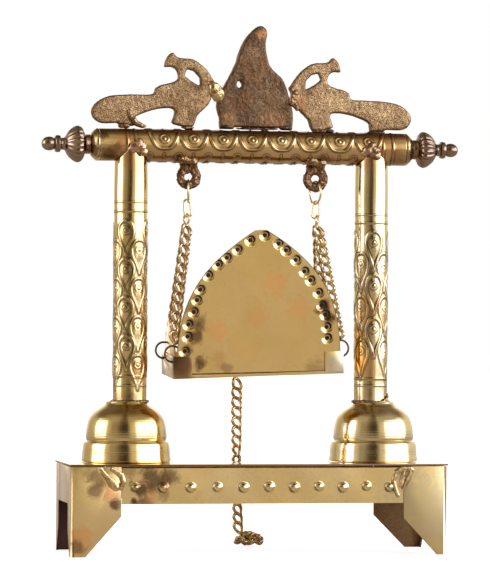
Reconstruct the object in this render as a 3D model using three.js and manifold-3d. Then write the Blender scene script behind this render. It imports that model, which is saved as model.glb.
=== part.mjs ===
// A brass home-shrine swing: a sheet-brass base on four folded legs, two posts on bell-shaped feet, a beam
// with turned finials and a cast crest, and a small tray seat that hangs from the beam on four chains.
// Millimetres. +Z is up, +X runs along the beam, and the open side of the seat faces +Y. The origin is on the
// floor under the middle of the base.
import * as THREE from "three";
import { mergeVertices } from "three/addons/utils/BufferGeometryUtils.js";
import Module from "manifold-3d";

const wasm = await Module();
wasm.setup();

// ---------------------------------------------------------------------------------------- driving dimensions
const GAP = 0.3; // left between pieces that touch
const SHEET = 0.8; // brass sheet of the base, the tubes and the seat
const WIRE = 1.0; // wire of every ring

const BASE_WIDTH = 182;
const BASE_DEPTH = 54;
const BASE_HEIGHT = 43.5;
const PLATE_THICKNESS = 0.9;
const PLATE_OVERHANG = 0.3;
const SIDE_FLANGE = 10; // depth of the part of each leg that turns the corner
const APRON_BOTTOM = 24.8;
const DOME_RADIUS = 2.7;
const DOME_HEIGHT = 1.2;
const DOME_LEVEL = 32.6;
const DOME_COUNT = 11;

const POST_X = 59.2;
const POST_RADIUS = 8.3;
const BELL_X = 60.7; // the bells stand a little outboard of the posts
const BELL_HEIGHT = 28.8;
const BELL_WALL = 1.1;

const BEAM_RADIUS = 8.05;
const BEAM_Z = 195.5;
const BEAM_HALF = 75;
const CAP_LENGTH = 3.7;
const CAP_END_RADIUS = 5.2;

const CASTING_BACK = -1.8; // flat backs of the crest and the birds
const CREST_THICKNESS = 4.6;
const BIRD_THICKNESS = 4;
const BIRD_DROP = 0.8; // the right bird sits this much lower than the pattern, the left one as much higher

const EYE_X = 31.2;
const EYE_Z = 180.4;
const EYE_RADIUS = 6;
const EYE_HOLE = 1.95;
const EYE_THICKNESS = 3.4;
const EYE_NECK = 8.8;

const TOP_RING_RADIUS = 5.5; // to the middle of the wire, as for every ring
const TOP_RING_Z = 173.8;
const LINK_RING_X = 31.6;
const LINK_RING_WIDTH = 3.2;
const LINK_RING_HEIGHT = 8.3;
const LINK_RING_Z = 165.45;
const LINK_RING_LEAN = THREE.MathUtils.degToRad(5);
const JUMP_RING_X = 32.1;
const JUMP_RING_RADIUS = 2.4;
const JUMP_RING_Z = 160.2;

const CHAIN_WIDTH = 4.6;
const CHAIN_DEPTH = 2.2;
const CHAIN_SPREAD = 1.4; // from the jump ring's middle to a chain's first link, along Y

const SEAT_WIDTH = 83;
const SEAT_DEPTH = 34;
const SEAT_RIM = 10.7;
const SEAT_MIDDLE = [1.5, 4.4, 86.0];
const SEAT_PITCH = THREE.MathUtils.degToRad(3.6); // the front edge hangs higher than the back
const SEAT_LEAN = THREE.MathUtils.degToRad(-2.2); // the left side hangs lower than the right
const FLAP_WIDTH = 9;
const BACK_LIP = 1.4;
const BACK_HALF_WIDTH = 39.9;
const BACK_HEIGHT = 70;
const SIDE_HALF_WIDTH = 15;
const SIDE_HEIGHT = 27.5;
const SEAT_RING_RADIUS = 3.9;
const SEAT_RING_Y = 13.4;
const SEAT_RING_Z = 11.8;
const SEAT_RING_X = 41.1;
const RING_HOLE = 1.0;
const REAR_CHAIN_END = [40.3, -SEAT_RING_Y, 17.4];
const FRONT_CHAIN_END = [37.6, SEAT_RING_Y, 16.6];

const PULL_X = -3.3;
const PULL_TAB = [6, 5.6]; // width and reach of the tab at the front of the tray
const PULL_RING_RADIUS = 2.6;
const PULL_RING_Y = 23;
const PULL_PIVOT = [-1.8, 27.1, 84.8];
const PULL_LEAN = THREE.MathUtils.degToRad(9.5);
const PULL_UPPER_LENGTH = 51;
const PULL_LOWER_END = 9;
const PULL_TOP_CLEARANCE = 1.9; // the upper length starts this far below the ring's wire
const PULL_JOINT_CLEARANCE = 0.6;
const HEAP = { x: 5.2, y: 38.2, z: 0.5, halfWidth: 6.6, halfDepth: 4.8, height: 7.4 };

// -------------------------------------------------------------------------------------------- solid helpers
function solidOf(geometry) {
  const bare = new THREE.BufferGeometry();
  bare.setAttribute("position", geometry.getAttribute("position").clone());
  bare.setIndex(geometry.index);
  const merged = mergeVertices(bare, 1e-4);
  return new wasm.Manifold(
    new wasm.Mesh({
      numProp: 3,
      vertProperties: new Float32Array(merged.attributes.position.array),
      triVerts: new Uint32Array(merged.index.array),
    }),
  );
}

function geometryOf(solid) {
  const made = solid.getMesh();
  const geometry = new THREE.BufferGeometry();
  geometry.setAttribute("position", new THREE.BufferAttribute(made.vertProperties, 3));
  geometry.setIndex(new THREE.BufferAttribute(made.triVerts, 1));
  return geometry;
}

function join(...geometries) {
  return geometryOf(geometries.map(solidOf).reduce((a, b) => a.add(b)));
}

function cut(geometry, ...tools) {
  return geometryOf(tools.map(solidOf).reduce((a, b) => a.subtract(b), solidOf(geometry)));
}

// A box between two opposite corners.
function box(low, high) {
  const [a, b] = [new THREE.Vector3(...low), new THREE.Vector3(...high)];
  const size = b.clone().sub(a);
  const middle = a.add(b).multiplyScalar(0.5);
  return new THREE.BoxGeometry(size.x, size.y, size.z).translate(middle.x, middle.y, middle.z);
}

// A turned solid about Z from [radius, height] pairs that run upwards on the outside.
function turned(profile, segments = 32) {
  const points = profile.map(([r, z]) => new THREE.Vector2(r, z));
  return new THREE.LatheGeometry(points, segments).rotateX(Math.PI / 2);
}

// The same solid laid along +X.
function turnedAlongX(profile, segments = 32) {
  return turned(profile, segments).rotateY(Math.PI / 2);
}

function tube(outer, inner, bottom, top, segments = 32) {
  return turned([[inner, bottom], [outer, bottom], [outer, top], [inner, top], [inner, bottom]], segments);
}

function rod(radius, length, axis, segments = 12) {
  const geometry = new THREE.CylinderGeometry(radius, radius, length, segments);
  if (axis === "x") geometry.rotateZ(Math.PI / 2);
  if (axis === "z") geometry.rotateX(Math.PI / 2);
  return geometry;
}

// A shape drawn in X and Z, made into a plate that fills Y from back to back + thickness.
function uprightPlate(shape, back, thickness, bevel = 0, curveSegments = 3) {
  const options = { depth: thickness - 2 * bevel, curveSegments, bevelEnabled: bevel > 0 };
  Object.assign(options, { bevelThickness: bevel, bevelSize: bevel, bevelOffset: -bevel, bevelSegments: 1 });
  const geometry = new THREE.ExtrudeGeometry(shape, options);
  return geometry.rotateX(Math.PI / 2).translate(0, back + thickness - bevel, 0);
}

function polygon(points) {
  return new THREE.Shape(points.map(([x, z]) => new THREE.Vector2(x, z)));
}

// A wire ring in the XY plane of its own, longer along Y where height is more than width.
function wireRing(width, height, segments = 20) {
  const ring = new THREE.TorusGeometry(width, WIRE / 2, 6, segments);
  if (height === width) return ring;
  const straight = height - width;
  const position = ring.getAttribute("position");
  for (let i = 0; i < position.count; i++) {
    const y = position.getY(i);
    if (Math.abs(y) > 1e-6) position.setY(i, y + Math.sign(y) * straight);
  }
  return ring;
}

// A plain oval bar with the chain's width along X and its depth along Y, hung between two points.
function chainBar(top, bottom) {
  const along = bottom.clone().sub(top);
  const bar = new THREE.CylinderGeometry(1, 1, along.length(), 12);
  bar.scale(CHAIN_WIDTH / 2, 1, CHAIN_DEPTH / 2);
  const turn = new THREE.Quaternion().setFromUnitVectors(new THREE.Vector3(0, 1, 0), along.normalize());
  bar.applyQuaternion(turn);
  const middle = top.clone().add(bottom).multiplyScalar(0.5);
  return bar.translate(middle.x, middle.y, middle.z);
}

function part(name, geometry, finish, parent) {
  const material = new THREE.MeshStandardMaterial({ metalness: 1, ...finish });
  const mesh = new THREE.Mesh(geometry, material);
  mesh.name = name;
  parent.add(mesh);
  return mesh;
}

const POLISHED = { color: 0xc9a65c, roughness: 0.22 };
const EMBOSSED = { color: 0xb98f45, roughness: 0.3 };
const CAST = { color: 0x8a6a45, roughness: 0.6 };
const DARK_WIRE = { color: 0x4a3528, roughness: 0.5 };
const CHAIN = { color: 0xc29048, roughness: 0.3 };
const SOLDER = { color: 0xb98068, roughness: 0.45 };

const swingset = new THREE.Group();
swingset.name = "temple_swing";
const SIDES = [["left", -1], ["right", 1]];

// ----------------------------------------------------------------------------------------------------- base
const plateBottom = BASE_HEIGHT - PLATE_THICKNESS;
const legTop = plateBottom - GAP;
const plateX = BASE_WIDTH / 2 + PLATE_OVERHANG;
const plateY = BASE_DEPTH / 2 + PLATE_OVERHANG;
const topPlate = box([-plateX, -plateY, plateBottom], [plateX, plateY, BASE_HEIGHT]);
part("base_top_plate", topPlate, POLISHED, swingset);

// Each leg is one folded sheet: a wide flange under the long side and a narrow one round the corner. Both are
// cut back at 45 degrees to a small toe. The four were cut by hand, so no two are quite alike.
const LEGS = [
  { end: "rear", side: "left", flange: 24, toe: 7, notch: 19 },
  { end: "rear", side: "right", flange: 21.4, toe: 5, notch: 17.5 },
  { end: "front", side: "left", flange: 24, toe: 7, notch: 19 },
  { end: "front", side: "right", flange: 23.6, toe: 7.8, notch: 16 },
];
const SIDE_TOE = 4;
const SIDE_NOTCH = 12;

function legOutline(width, toe, notch) {
  return polygon([[0, 0], [toe, 0], [width, notch], [width, legTop], [0, legTop]]);
}

function foldedLeg({ flange, toe, notch }) {
  const wide = uprightPlate(legOutline(flange, toe, notch), 0, SHEET);
  const narrow = uprightPlate(legOutline(SIDE_FLANGE, SIDE_TOE, SIDE_NOTCH), -SHEET, SHEET);
  narrow.rotateZ(Math.PI / 2);
  return join(wide, narrow);
}

for (const leg of LEGS) {
  const x = leg.side === "left" ? -1 : 1;
  const y = leg.end === "rear" ? -1 : 1;
  const mesh = part(`leg_${leg.end}_${leg.side}`, foldedLeg(leg), POLISHED, swingset);
  mesh.position.set((x * BASE_WIDTH) / 2, (y * BASE_DEPTH) / 2, 0);
  mesh.scale.set(-x, -y, 1);
}

// The long aprons carry a row of punched domes, a little closer together towards the right.
function domeX(i) {
  return -60.3 + 13.4 * i - 0.113 * i * i;
}

function dome() {
  const profile = [[0, -SHEET / 2], [DOME_RADIUS, -SHEET / 2], [DOME_RADIUS, 0]];
  profile.push([0.62 * DOME_RADIUS, 0.75 * DOME_HEIGHT], [0, DOME_HEIGHT]);
  return turned(profile, 10).rotateX(Math.PI / 2);
}

function longApron(end) {
  const y = (BASE_DEPTH / 2) * (end === "rear" ? -1 : 1);
  const [left, right] = LEGS.filter((leg) => leg.end === end);
  const low = [left.flange + GAP - BASE_WIDTH / 2, Math.min(y, y - Math.sign(y) * SHEET), APRON_BOTTOM];
  const high = [BASE_WIDTH / 2 - right.flange - GAP, Math.max(y, y - Math.sign(y) * SHEET), legTop];
  const domes = Array.from({ length: DOME_COUNT }, (_, i) => {
    const made = dome();
    if (y > 0) made.rotateZ(Math.PI);
    return made.translate(domeX(i), y, DOME_LEVEL);
  });
  return join(box(low, high), ...domes);
}

for (const end of ["rear", "front"]) part(`apron_${end}`, longApron(end), EMBOSSED, swingset);

for (const [name, side] of SIDES) {
  const y = BASE_DEPTH / 2 - SIDE_FLANGE - GAP;
  const outer = (side * BASE_WIDTH) / 2;
  const inner = outer - side * SHEET;
  const apron = box([Math.min(outer, inner), -y, APRON_BOTTOM], [Math.max(outer, inner), y, legTop]);
  part(`apron_${name}`, apron, POLISHED, swingset);
}

// Lumps of solder on the rear face, over the joints between the legs and the apron.
const LEG_SOLDER = { left: [-68.1, 37], right: [70.4, 35.3] };
for (const [name] of SIDES) {
  const [x, z] = LEG_SOLDER[name];
  const lump = turned([[0, 0], [4.9, 0], [4.4, 0.5], [2.6, 0.8], [0, 0.9]], 14).rotateX(Math.PI / 2);
  part(`solder_leg_${name}`, lump.translate(x, -BASE_DEPTH / 2 - GAP, z), SOLDER, swingset);
}

// -------------------------------------------------------------------------------------- bells, posts, beam
function bellProfile() {
  const outside = [[21.5, 0], [20.6, 9.1], [19.8, 9.8], [19.3, 10.4], [18.8, 18]];
  const shoulder = [[17.9, 20.6], [16.4, 22.9], [13.4, 25.3], [10.4, 27]];
  const neck = [[POST_RADIUS + 1.8, 27.6], [POST_RADIUS + 1.5, BELL_HEIGHT], [0, BELL_HEIGHT]];
  const ceiling = [[0, BELL_HEIGHT - BELL_WALL], [9.4, 26.4], [13, 24.2]];
  const inside = [[16.3, 21], [17.6, 17.5], [18.2, 9.6], [20.4, 0]];
  return [...outside, ...shoulder, ...neck, ...ceiling, ...inside, outside[0]];
}

const bellBottom = BASE_HEIGHT + GAP;
const postBottom = bellBottom + BELL_HEIGHT + GAP;
for (const [name, side] of SIDES) {
  const bell = turned(bellProfile()).translate(side * BELL_X, 0, bellBottom);
  part(`bell_foot_${name}`, bell, POLISHED, swingset);

  // The top of the post is fish-mouthed to sit round the underside of the beam.
  const post = tube(POST_RADIUS, POST_RADIUS - SHEET, postBottom, BEAM_Z);
  const saddle = rod(BEAM_RADIUS + GAP, 4 * POST_RADIUS, "x", 40).translate(0, 0, BEAM_Z);
  part(`post_${name}`, cut(post, saddle), EMBOSSED, swingset).position.x = side * POST_X;

  // A lump of solder bridges the post's tongue and the rear of the beam.
  const lump = new THREE.SphereGeometry(1, 12, 8).scale(5, 2.6, 5.4);
  lump.translate(-2 * side, -BEAM_RADIUS - 0.8, -2);
  const beamClearance = rod(BEAM_RADIUS + GAP, 30, "x", 40);
  const postClearance = rod(POST_RADIUS + GAP + 0.1, 30, "z", 32).translate(0, 0, -15);
  const solder = part(`solder_post_${name}`, cut(lump, beamClearance, postClearance), SOLDER, swingset);
  solder.position.set(side * POST_X, 0, BEAM_Z);
}

const beam = tube(BEAM_RADIUS, BEAM_RADIUS - SHEET, -BEAM_HALF, BEAM_HALF).rotateY(Math.PI / 2);
part("beam_tube", beam.translate(0, 0, BEAM_Z), EMBOSSED, swingset);

// Distances of the cap and the finial run outwards from the end of the beam tube.
const capRim = [[BEAM_RADIUS, 0], [BEAM_RADIUS, 0.4], [CAP_END_RADIUS, CAP_LENGTH]];
const capProfile = [[0, 0], ...capRim, [0, CAP_LENGTH]];
const finialNeck = [[0, 4], [4.7, 4], [4.7, 6.4]];
const finialBulb = [
  [6.2, 6.9], [8.1, 8.2], [8.6, 9.8], [8.1, 11.6], [6.6, 13.6], [4.6, 15.2], [2.9, 16], [2.9, 18],
];
const finialTip = [
  [4.1, 18.2], [4.1, 20.6], [2.6, 21], [3.2, 22.1], [3.4, 23.6], [2.9, 25.4], [1.6, 26.8], [0, 27.3],
];
const finialProfile = [...finialNeck, ...finialBulb, ...finialTip];
for (const [name, side] of SIDES) {
  const pieces = [
    [`beam_cap_${name}`, capProfile, 32, POLISHED],
    [`finial_${name}`, finialProfile, 24, CAST],
  ];
  for (const [title, profile, segments, finish] of pieces) {
    const mesh = part(title, turnedAlongX(profile, segments), finish, swingset);
    mesh.position.set(side * (BEAM_HALF + GAP), 0, BEAM_Z);
    mesh.rotation.z = side < 0 ? Math.PI : 0;
  }
}

// --------------------------------------------------------------------------------------- crest and peacocks
const beamTop = BEAM_Z + BEAM_RADIUS + GAP;

function crestShape() {
  const shape = new THREE.Shape();
  const rightSide = [[19.8, 210.5], [19, 215.8], [16.3, 225.1], [14.4, 228.9], [8.8, 234.2], [6.8, 241]];
  const crown = [[6.2, 245.8], [7, 250.9], [5.8, 253.2], [3.4, 254.2], [0, 252.2], [-4.2, 247.4]];
  const leftSide = [
    [-7.1, 240.6], [-8.4, 236], [-12.8, 227.5], [-17.4, 217.6], [-17.6, 213.4], [-16.4, 209.6],
  ];
  shape.moveTo(19.5, beamTop);
  shape.lineTo(19.6, 206);
  shape.splineThru([...rightSide, ...crown, ...leftSide].map(([x, z]) => new THREE.Vector2(x, z)));
  const feet = [[-16.2, beamTop], [-9.6, beamTop], [-9, 204.9], [13.4, 204.9], [14, beamTop]];
  for (const [x, z] of feet) shape.lineTo(x, z);
  const hole = new THREE.Path();
  hole.absellipse(-6.7, 225.6, 1.4, 1.9, 0, 2 * Math.PI, true);
  shape.holes.push(hole);
  return shape;
}

part("crest_plate", uprightPlate(crestShape(), CASTING_BACK, CREST_THICKNESS, 0.6), CAST, swingset);

// One pattern serves for both birds: chest against the crest, head turned back, long tail along the beam.
function birdShape() {
  const shape = new THREE.Shape();
  const vectors = (points) => points.map(([x, z]) => new THREE.Vector2(x, z));
  const crown = [[20.9, 230], [24.5, 233.8], [29, 236.5], [34, 236.9], [36.8, 237.6], [38.8, 239.5]];
  const beak = [[41, 238], [42.4, 235.2]];
  const throat = [[39.2, 232.4], [37, 230.9], [36.1, 228.2], [36.9, 226.2]];
  const back = [[40.4, 224.7], [44.5, 223.7], [47.2, 222.2]];
  const tailTop = [[55.5, 219], [62, 218.8], [69.4, 218], [74.6, 215.7], [78, 211.6]];
  const tailEnd = [[77.2, 207.4], [73.5, 204.9], [66, 205]];
  const belly = [[53.8, 209.6], [47.5, 211.7], [41.5, 212.6], [37.9, 211.9], [38.1, 209.2], [39.2, 206]];
  const breast = [[26.6, 209.2], [23.4, 212.4], [21, 214.9]];
  shape.moveTo(19.9, 217.2);
  shape.lineTo(18.1, 225.6);
  shape.splineThru(vectors([...crown, ...beak]));
  shape.lineTo(42.9, 232.4);
  shape.splineThru(vectors([...throat, ...back]));
  shape.lineTo(47.7, 219.8);
  shape.lineTo(49.2, 219.1);
  shape.splineThru(vectors([...tailTop, ...tailEnd]));
  for (const point of [[63.6, beamTop], [57.4, beamTop], [57, 207.9]]) shape.lineTo(...point);
  shape.splineThru(vectors(belly));
  const foot = [[38.4, beamTop + 1.2], [34, beamTop], [28.6, beamTop], [27.6, 206]];
  for (const point of foot) shape.lineTo(...point);
  shape.splineThru(vectors(breast));
  const gap = vectors([[25.2, 223.6], [29.8, 226], [33, 228.6], [31.6, 231.6], [28.4, 230.8], [25.6, 227.8]]);
  shape.holes.push(new THREE.Path(gap));
  return shape;
}

for (const [name, side] of SIDES) {
  const plate = uprightPlate(birdShape(), CASTING_BACK, BIRD_THICKNESS, 0.6);
  const bird = part(`peacock_${name}`, plate, CAST, swingset);
  bird.position.set(side * GAP * 2, 0, side < 0 ? BIRD_DROP : 0);
  bird.scale.x = side;
}

// ------------------------------------------------------------------------------ the eyes and the hung rings
function eyeShape() {
  const shape = new THREE.Shape();
  const top = BEAM_Z - BEAM_RADIUS - GAP - EYE_Z;
  const start = Math.PI / 4;
  shape.moveTo(-EYE_NECK / 2, top);
  shape.lineTo(-EYE_RADIUS * Math.cos(start), EYE_RADIUS * Math.sin(start));
  shape.absarc(0, 0, EYE_RADIUS, Math.PI - start, start, false);
  shape.lineTo(EYE_NECK / 2, top);
  const hole = new THREE.Path();
  hole.absarc(0, 0, EYE_HOLE, 0, 2 * Math.PI, true);
  shape.holes.push(hole);
  return shape;
}

for (const [name, side] of SIDES) {
  const eye = uprightPlate(eyeShape(), -EYE_THICKNESS / 2, EYE_THICKNESS, 0.8, 10);
  part(`swing_eye_${name}`, eye, CAST, swingset).position.set(side * EYE_X, 0, EYE_Z);

  const topRing = part(`top_ring_${name}`, wireRing(TOP_RING_RADIUS, TOP_RING_RADIUS), CHAIN, swingset);
  topRing.position.set(side * EYE_X, 0, TOP_RING_Z);
  topRing.rotation.y = Math.PI / 2;

  const longRing = wireRing(LINK_RING_WIDTH / 2, LINK_RING_HEIGHT / 2);
  const linkRing = part(`link_ring_${name}`, longRing, CHAIN, swingset);
  linkRing.position.set(side * LINK_RING_X, 0, LINK_RING_Z);
  linkRing.rotation.set(Math.PI / 2, 0, side * LINK_RING_LEAN);

  const jumpRing = part(`jump_ring_${name}`, wireRing(JUMP_RING_RADIUS, JUMP_RING_RADIUS), CHAIN, swingset);
  jumpRing.position.set(side * JUMP_RING_X, 0, JUMP_RING_Z);
  jumpRing.rotation.y = Math.PI / 2;
}

// ----------------------------------------------------------------------------------------------------- seat
// The seat's own frame: X across, Y from back to front, Z up from the underside of the tray.
const seat = new THREE.Group();
seat.position.set(...SEAT_MIDDLE);
seat.rotation.set(SEAT_PITCH, SEAT_LEAN, 0);
swingset.add(seat);
seat.updateMatrixWorld(true);

const seatX = SEAT_WIDTH / 2;
const seatY = SEAT_DEPTH / 2;
const backOuterY = SHEET + GAP - seatY;
const sideOuterX = seatX - SHEET - GAP;

function ringHoles() {
  const holes = [];
  for (const x of [-seatX, seatX]) {
    for (const y of [-SEAT_RING_Y, SEAT_RING_Y]) {
      holes.push(rod(RING_HOLE, 8, "x", 10).translate(x, y, SEAT_RING_Z - SEAT_RING_RADIUS));
    }
  }
  return holes;
}

// Floor, rim and front are one folded sheet. At the back the rim's ends fold in over the back plate as flaps.
function trayGeometry() {
  const walls = [
    box([-seatX, -seatY, 0], [seatX, seatY, SHEET]),
    box([-seatX, -seatY, 0], [-seatX + SHEET, seatY, SEAT_RIM]),
    box([seatX - SHEET, -seatY, 0], [seatX, seatY, SEAT_RIM]),
    box([-seatX, seatY - SHEET, 0], [seatX, seatY, SEAT_RIM]),
    box([-seatX, -seatY, 0], [-seatX + FLAP_WIDTH, -seatY + SHEET, SEAT_RIM]),
    box([seatX - FLAP_WIDTH, -seatY, 0], [seatX, -seatY + SHEET, SEAT_RIM]),
    box([-seatX, -seatY, 0], [seatX, -seatY + SHEET, BACK_LIP]),
  ];
  const [tabWidth, tabReach] = PULL_TAB;
  const [tabLeft, tabRight] = [PULL_X - tabWidth / 2, PULL_X + tabWidth / 2];
  walls.push(box([tabLeft, seatY - SHEET, 0], [tabRight, seatY + tabReach, SHEET]));
  const tabHole = rod(RING_HOLE, 4, "z", 10).translate(PULL_X, PULL_RING_Y - PULL_RING_RADIUS, 0);
  return cut(join(...walls), tabHole, ...ringHoles());
}

part("seat_tray", trayGeometry(), POLISHED, seat);

// The tray hangs out of level but the back plate stands upright in it, so its outline leans the other way.
function backShape() {
  const upright = -Math.tan(SEAT_LEAN);
  const at = (x, z) => [x + upright * z, z];
  const half = BACK_HALF_WIDTH;
  const shape = new THREE.Shape();
  shape.moveTo(...at(-half, SHEET + GAP));
  shape.lineTo(...at(half, SHEET + GAP));
  shape.lineTo(...at(half, 8));
  shape.bezierCurveTo(...at(half - 0.2, 36), ...at(30, 53), ...at(2.9, BACK_HEIGHT - 0.2));
  shape.lineTo(...at(0, BACK_HEIGHT));
  shape.lineTo(...at(-2.9, BACK_HEIGHT - 0.2));
  shape.bezierCurveTo(...at(-30, 53), ...at(0.2 - half, 36), ...at(-half, 8));
  return shape;
}

part("seat_back", uprightPlate(backShape(), backOuterY, SHEET, 0, 12), POLISHED, seat);

function sideShape() {
  const bottom = SHEET + GAP;
  const shape = new THREE.Shape();
  shape.moveTo(-SIDE_HALF_WIDTH, bottom);
  shape.lineTo(SIDE_HALF_WIDTH, bottom);
  shape.lineTo(SIDE_HALF_WIDTH, 9);
  shape.bezierCurveTo(SIDE_HALF_WIDTH - 1.5, 17, 7, 22.5, 0, SIDE_HEIGHT);
  shape.bezierCurveTo(-7, 22.5, 1.5 - SIDE_HALF_WIDTH, 17, -SIDE_HALF_WIDTH, 9);
  return shape;
}

for (const [name, side] of SIDES) {
  const x = side * (sideOuterX - SHEET / 2);
  const plate = uprightPlate(sideShape(), -SHEET / 2, SHEET, 0, 8).rotateZ(Math.PI / 2).translate(x, 0.4, 0);
  part(`seat_side_${name}`, cut(plate, ...ringHoles()), POLISHED, seat);
}

for (const [name, side] of SIDES) {
  for (const [end, y] of [["rear", -SEAT_RING_Y], ["front", SEAT_RING_Y]]) {
    const round = wireRing(SEAT_RING_RADIUS, SEAT_RING_RADIUS);
    const ring = part(`seat_ring_${end}_${name}`, round, DARK_WIRE, seat);
    ring.position.set(side * SEAT_RING_X, y, SEAT_RING_Z);
    ring.rotation.x = Math.PI / 2;
  }
}

// ---------------------------------------------------------------------------------------------------- chains
for (const [name, side] of SIDES) {
  const chainEnds = [["rear", -CHAIN_SPREAD, REAR_CHAIN_END], ["front", CHAIN_SPREAD, FRONT_CHAIN_END]];
  for (const [end, spread, [x, y, z]] of chainEnds) {
    const topZ = JUMP_RING_Z - JUMP_RING_RADIUS - WIRE / 2 - GAP;
    const top = new THREE.Vector3(side * JUMP_RING_X, spread, topZ);
    const bottom = seat.localToWorld(new THREE.Vector3(side * x, y, z));
    part(`chain_${end}_${name}`, chainBar(top, bottom), CHAIN, swingset);
  }
}

// The pull cord is a length of the same chain. It hangs from a ring at the front of the tray, leans out over
// the edge of the base and ends in a loose heap on the floor. It bends at the ring and half way down.
const pullRing = part("pull_ring", wireRing(PULL_RING_RADIUS, PULL_RING_RADIUS), CHAIN, seat);
pullRing.position.set(PULL_X, PULL_RING_Y, SHEET / 2);
pullRing.rotation.y = Math.PI / 2;

const pullTop = new THREE.Vector3(...PULL_PIVOT);
const pullDirection = new THREE.Vector3(0, Math.sin(PULL_LEAN), -Math.cos(PULL_LEAN));
const pullBend = pullTop.clone().addScaledVector(pullDirection, PULL_UPPER_LENGTH);
const upperStart = pullTop.clone().addScaledVector(pullDirection, PULL_TOP_CLEARANCE);
const upperEnd = pullBend.clone().addScaledVector(pullDirection, -PULL_JOINT_CLEARANCE);
part("pull_chain_upper", chainBar(upperStart, upperEnd), CHAIN, swingset);

const lowerStart = pullBend.clone();
lowerStart.z -= PULL_JOINT_CLEARANCE;
const lowerEnd = new THREE.Vector3(pullBend.x, pullBend.y, PULL_LOWER_END);
part("pull_chain_lower", chainBar(lowerStart, lowerEnd), CHAIN, swingset);

const heap = new THREE.SphereGeometry(1, 14, 8).rotateX(Math.PI / 2);
heap.scale(HEAP.halfWidth, HEAP.halfDepth, HEAP.height / 2);
part("pull_chain_heap", heap, CHAIN, swingset).position.set(HEAP.x, HEAP.y, HEAP.z + HEAP.height / 2);

export default swingset;
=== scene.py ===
"""A brass shrine swing on a pale floor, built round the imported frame.

Sizes are in millimetres and in the frame's own axes: +Z up, +X along the beam and -Y the rear of the swing,
which faces the camera. They become metres as each mesh is made. The camera and the floor are in metres
throughout.
"""

import math
import random

import bmesh
import bpy
import numpy as np
from mathutils import Matrix, Vector, noise
from mathutils.kdtree import KDTree


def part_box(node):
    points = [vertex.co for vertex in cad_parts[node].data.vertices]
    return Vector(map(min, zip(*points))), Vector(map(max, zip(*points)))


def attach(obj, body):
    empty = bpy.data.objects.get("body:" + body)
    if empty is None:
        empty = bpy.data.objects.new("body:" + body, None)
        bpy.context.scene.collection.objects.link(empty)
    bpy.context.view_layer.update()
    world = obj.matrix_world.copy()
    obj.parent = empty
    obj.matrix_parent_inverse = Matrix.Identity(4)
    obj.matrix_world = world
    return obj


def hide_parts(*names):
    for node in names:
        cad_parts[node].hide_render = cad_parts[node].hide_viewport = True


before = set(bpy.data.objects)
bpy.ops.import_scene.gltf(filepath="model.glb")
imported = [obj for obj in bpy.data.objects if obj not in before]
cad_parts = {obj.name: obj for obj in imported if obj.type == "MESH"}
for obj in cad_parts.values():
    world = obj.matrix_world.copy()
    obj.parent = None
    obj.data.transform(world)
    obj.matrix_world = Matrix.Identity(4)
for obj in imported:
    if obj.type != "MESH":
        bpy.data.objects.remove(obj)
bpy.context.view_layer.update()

MM = 0.001
SIDES = (("left", -1), ("right", 1))
WIRE = 0.5  # radius of the ring wire
SHEET = 0.8


def span(node):
    """A node's lowest and highest corners, in millimetres."""
    low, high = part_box(node)
    return np.array(low) / MM, np.array(high) / MM


def around(count):
    """Angles evenly spaced round a circle."""
    return np.arange(count) / count * 2 * math.pi


# ---- camera and stage
CAMERA_TURN = math.radians(-11.0)
CAMERA_RISE = math.radians(-0.9)
CAMERA_ROLL = math.radians(0.33)
CAMERA_DISTANCE = 1.478
CAMERA_TARGET = Vector((-0.0032, 0.0, 0.129))
LENS = 193.7
SENSOR = 36


def make_camera():
    """A long lens, level with the swing's lower half and a little to the left of its rear."""
    back = Vector((
        math.sin(CAMERA_TURN) * math.cos(CAMERA_RISE),
        -math.cos(CAMERA_TURN) * math.cos(CAMERA_RISE),
        math.sin(CAMERA_RISE),
    ))
    level = Vector((math.cos(CAMERA_TURN), math.sin(CAMERA_TURN), 0))
    up = back.cross(level)
    right = math.cos(CAMERA_ROLL) * level + math.sin(CAMERA_ROLL) * up
    up = back.cross(right)
    data = bpy.data.cameras.new("camera")
    data.lens = LENS
    data.sensor_width = SENSOR
    data.clip_end = 20
    camera = bpy.data.objects.new("camera", data)
    turn = Matrix((right, up, back)).transposed().to_4x4()
    camera.matrix_world = Matrix.Translation(CAMERA_TARGET + CAMERA_DISTANCE * back) @ turn
    bpy.context.scene.collection.objects.link(camera)
    bpy.context.scene.camera = camera


make_camera()


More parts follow.
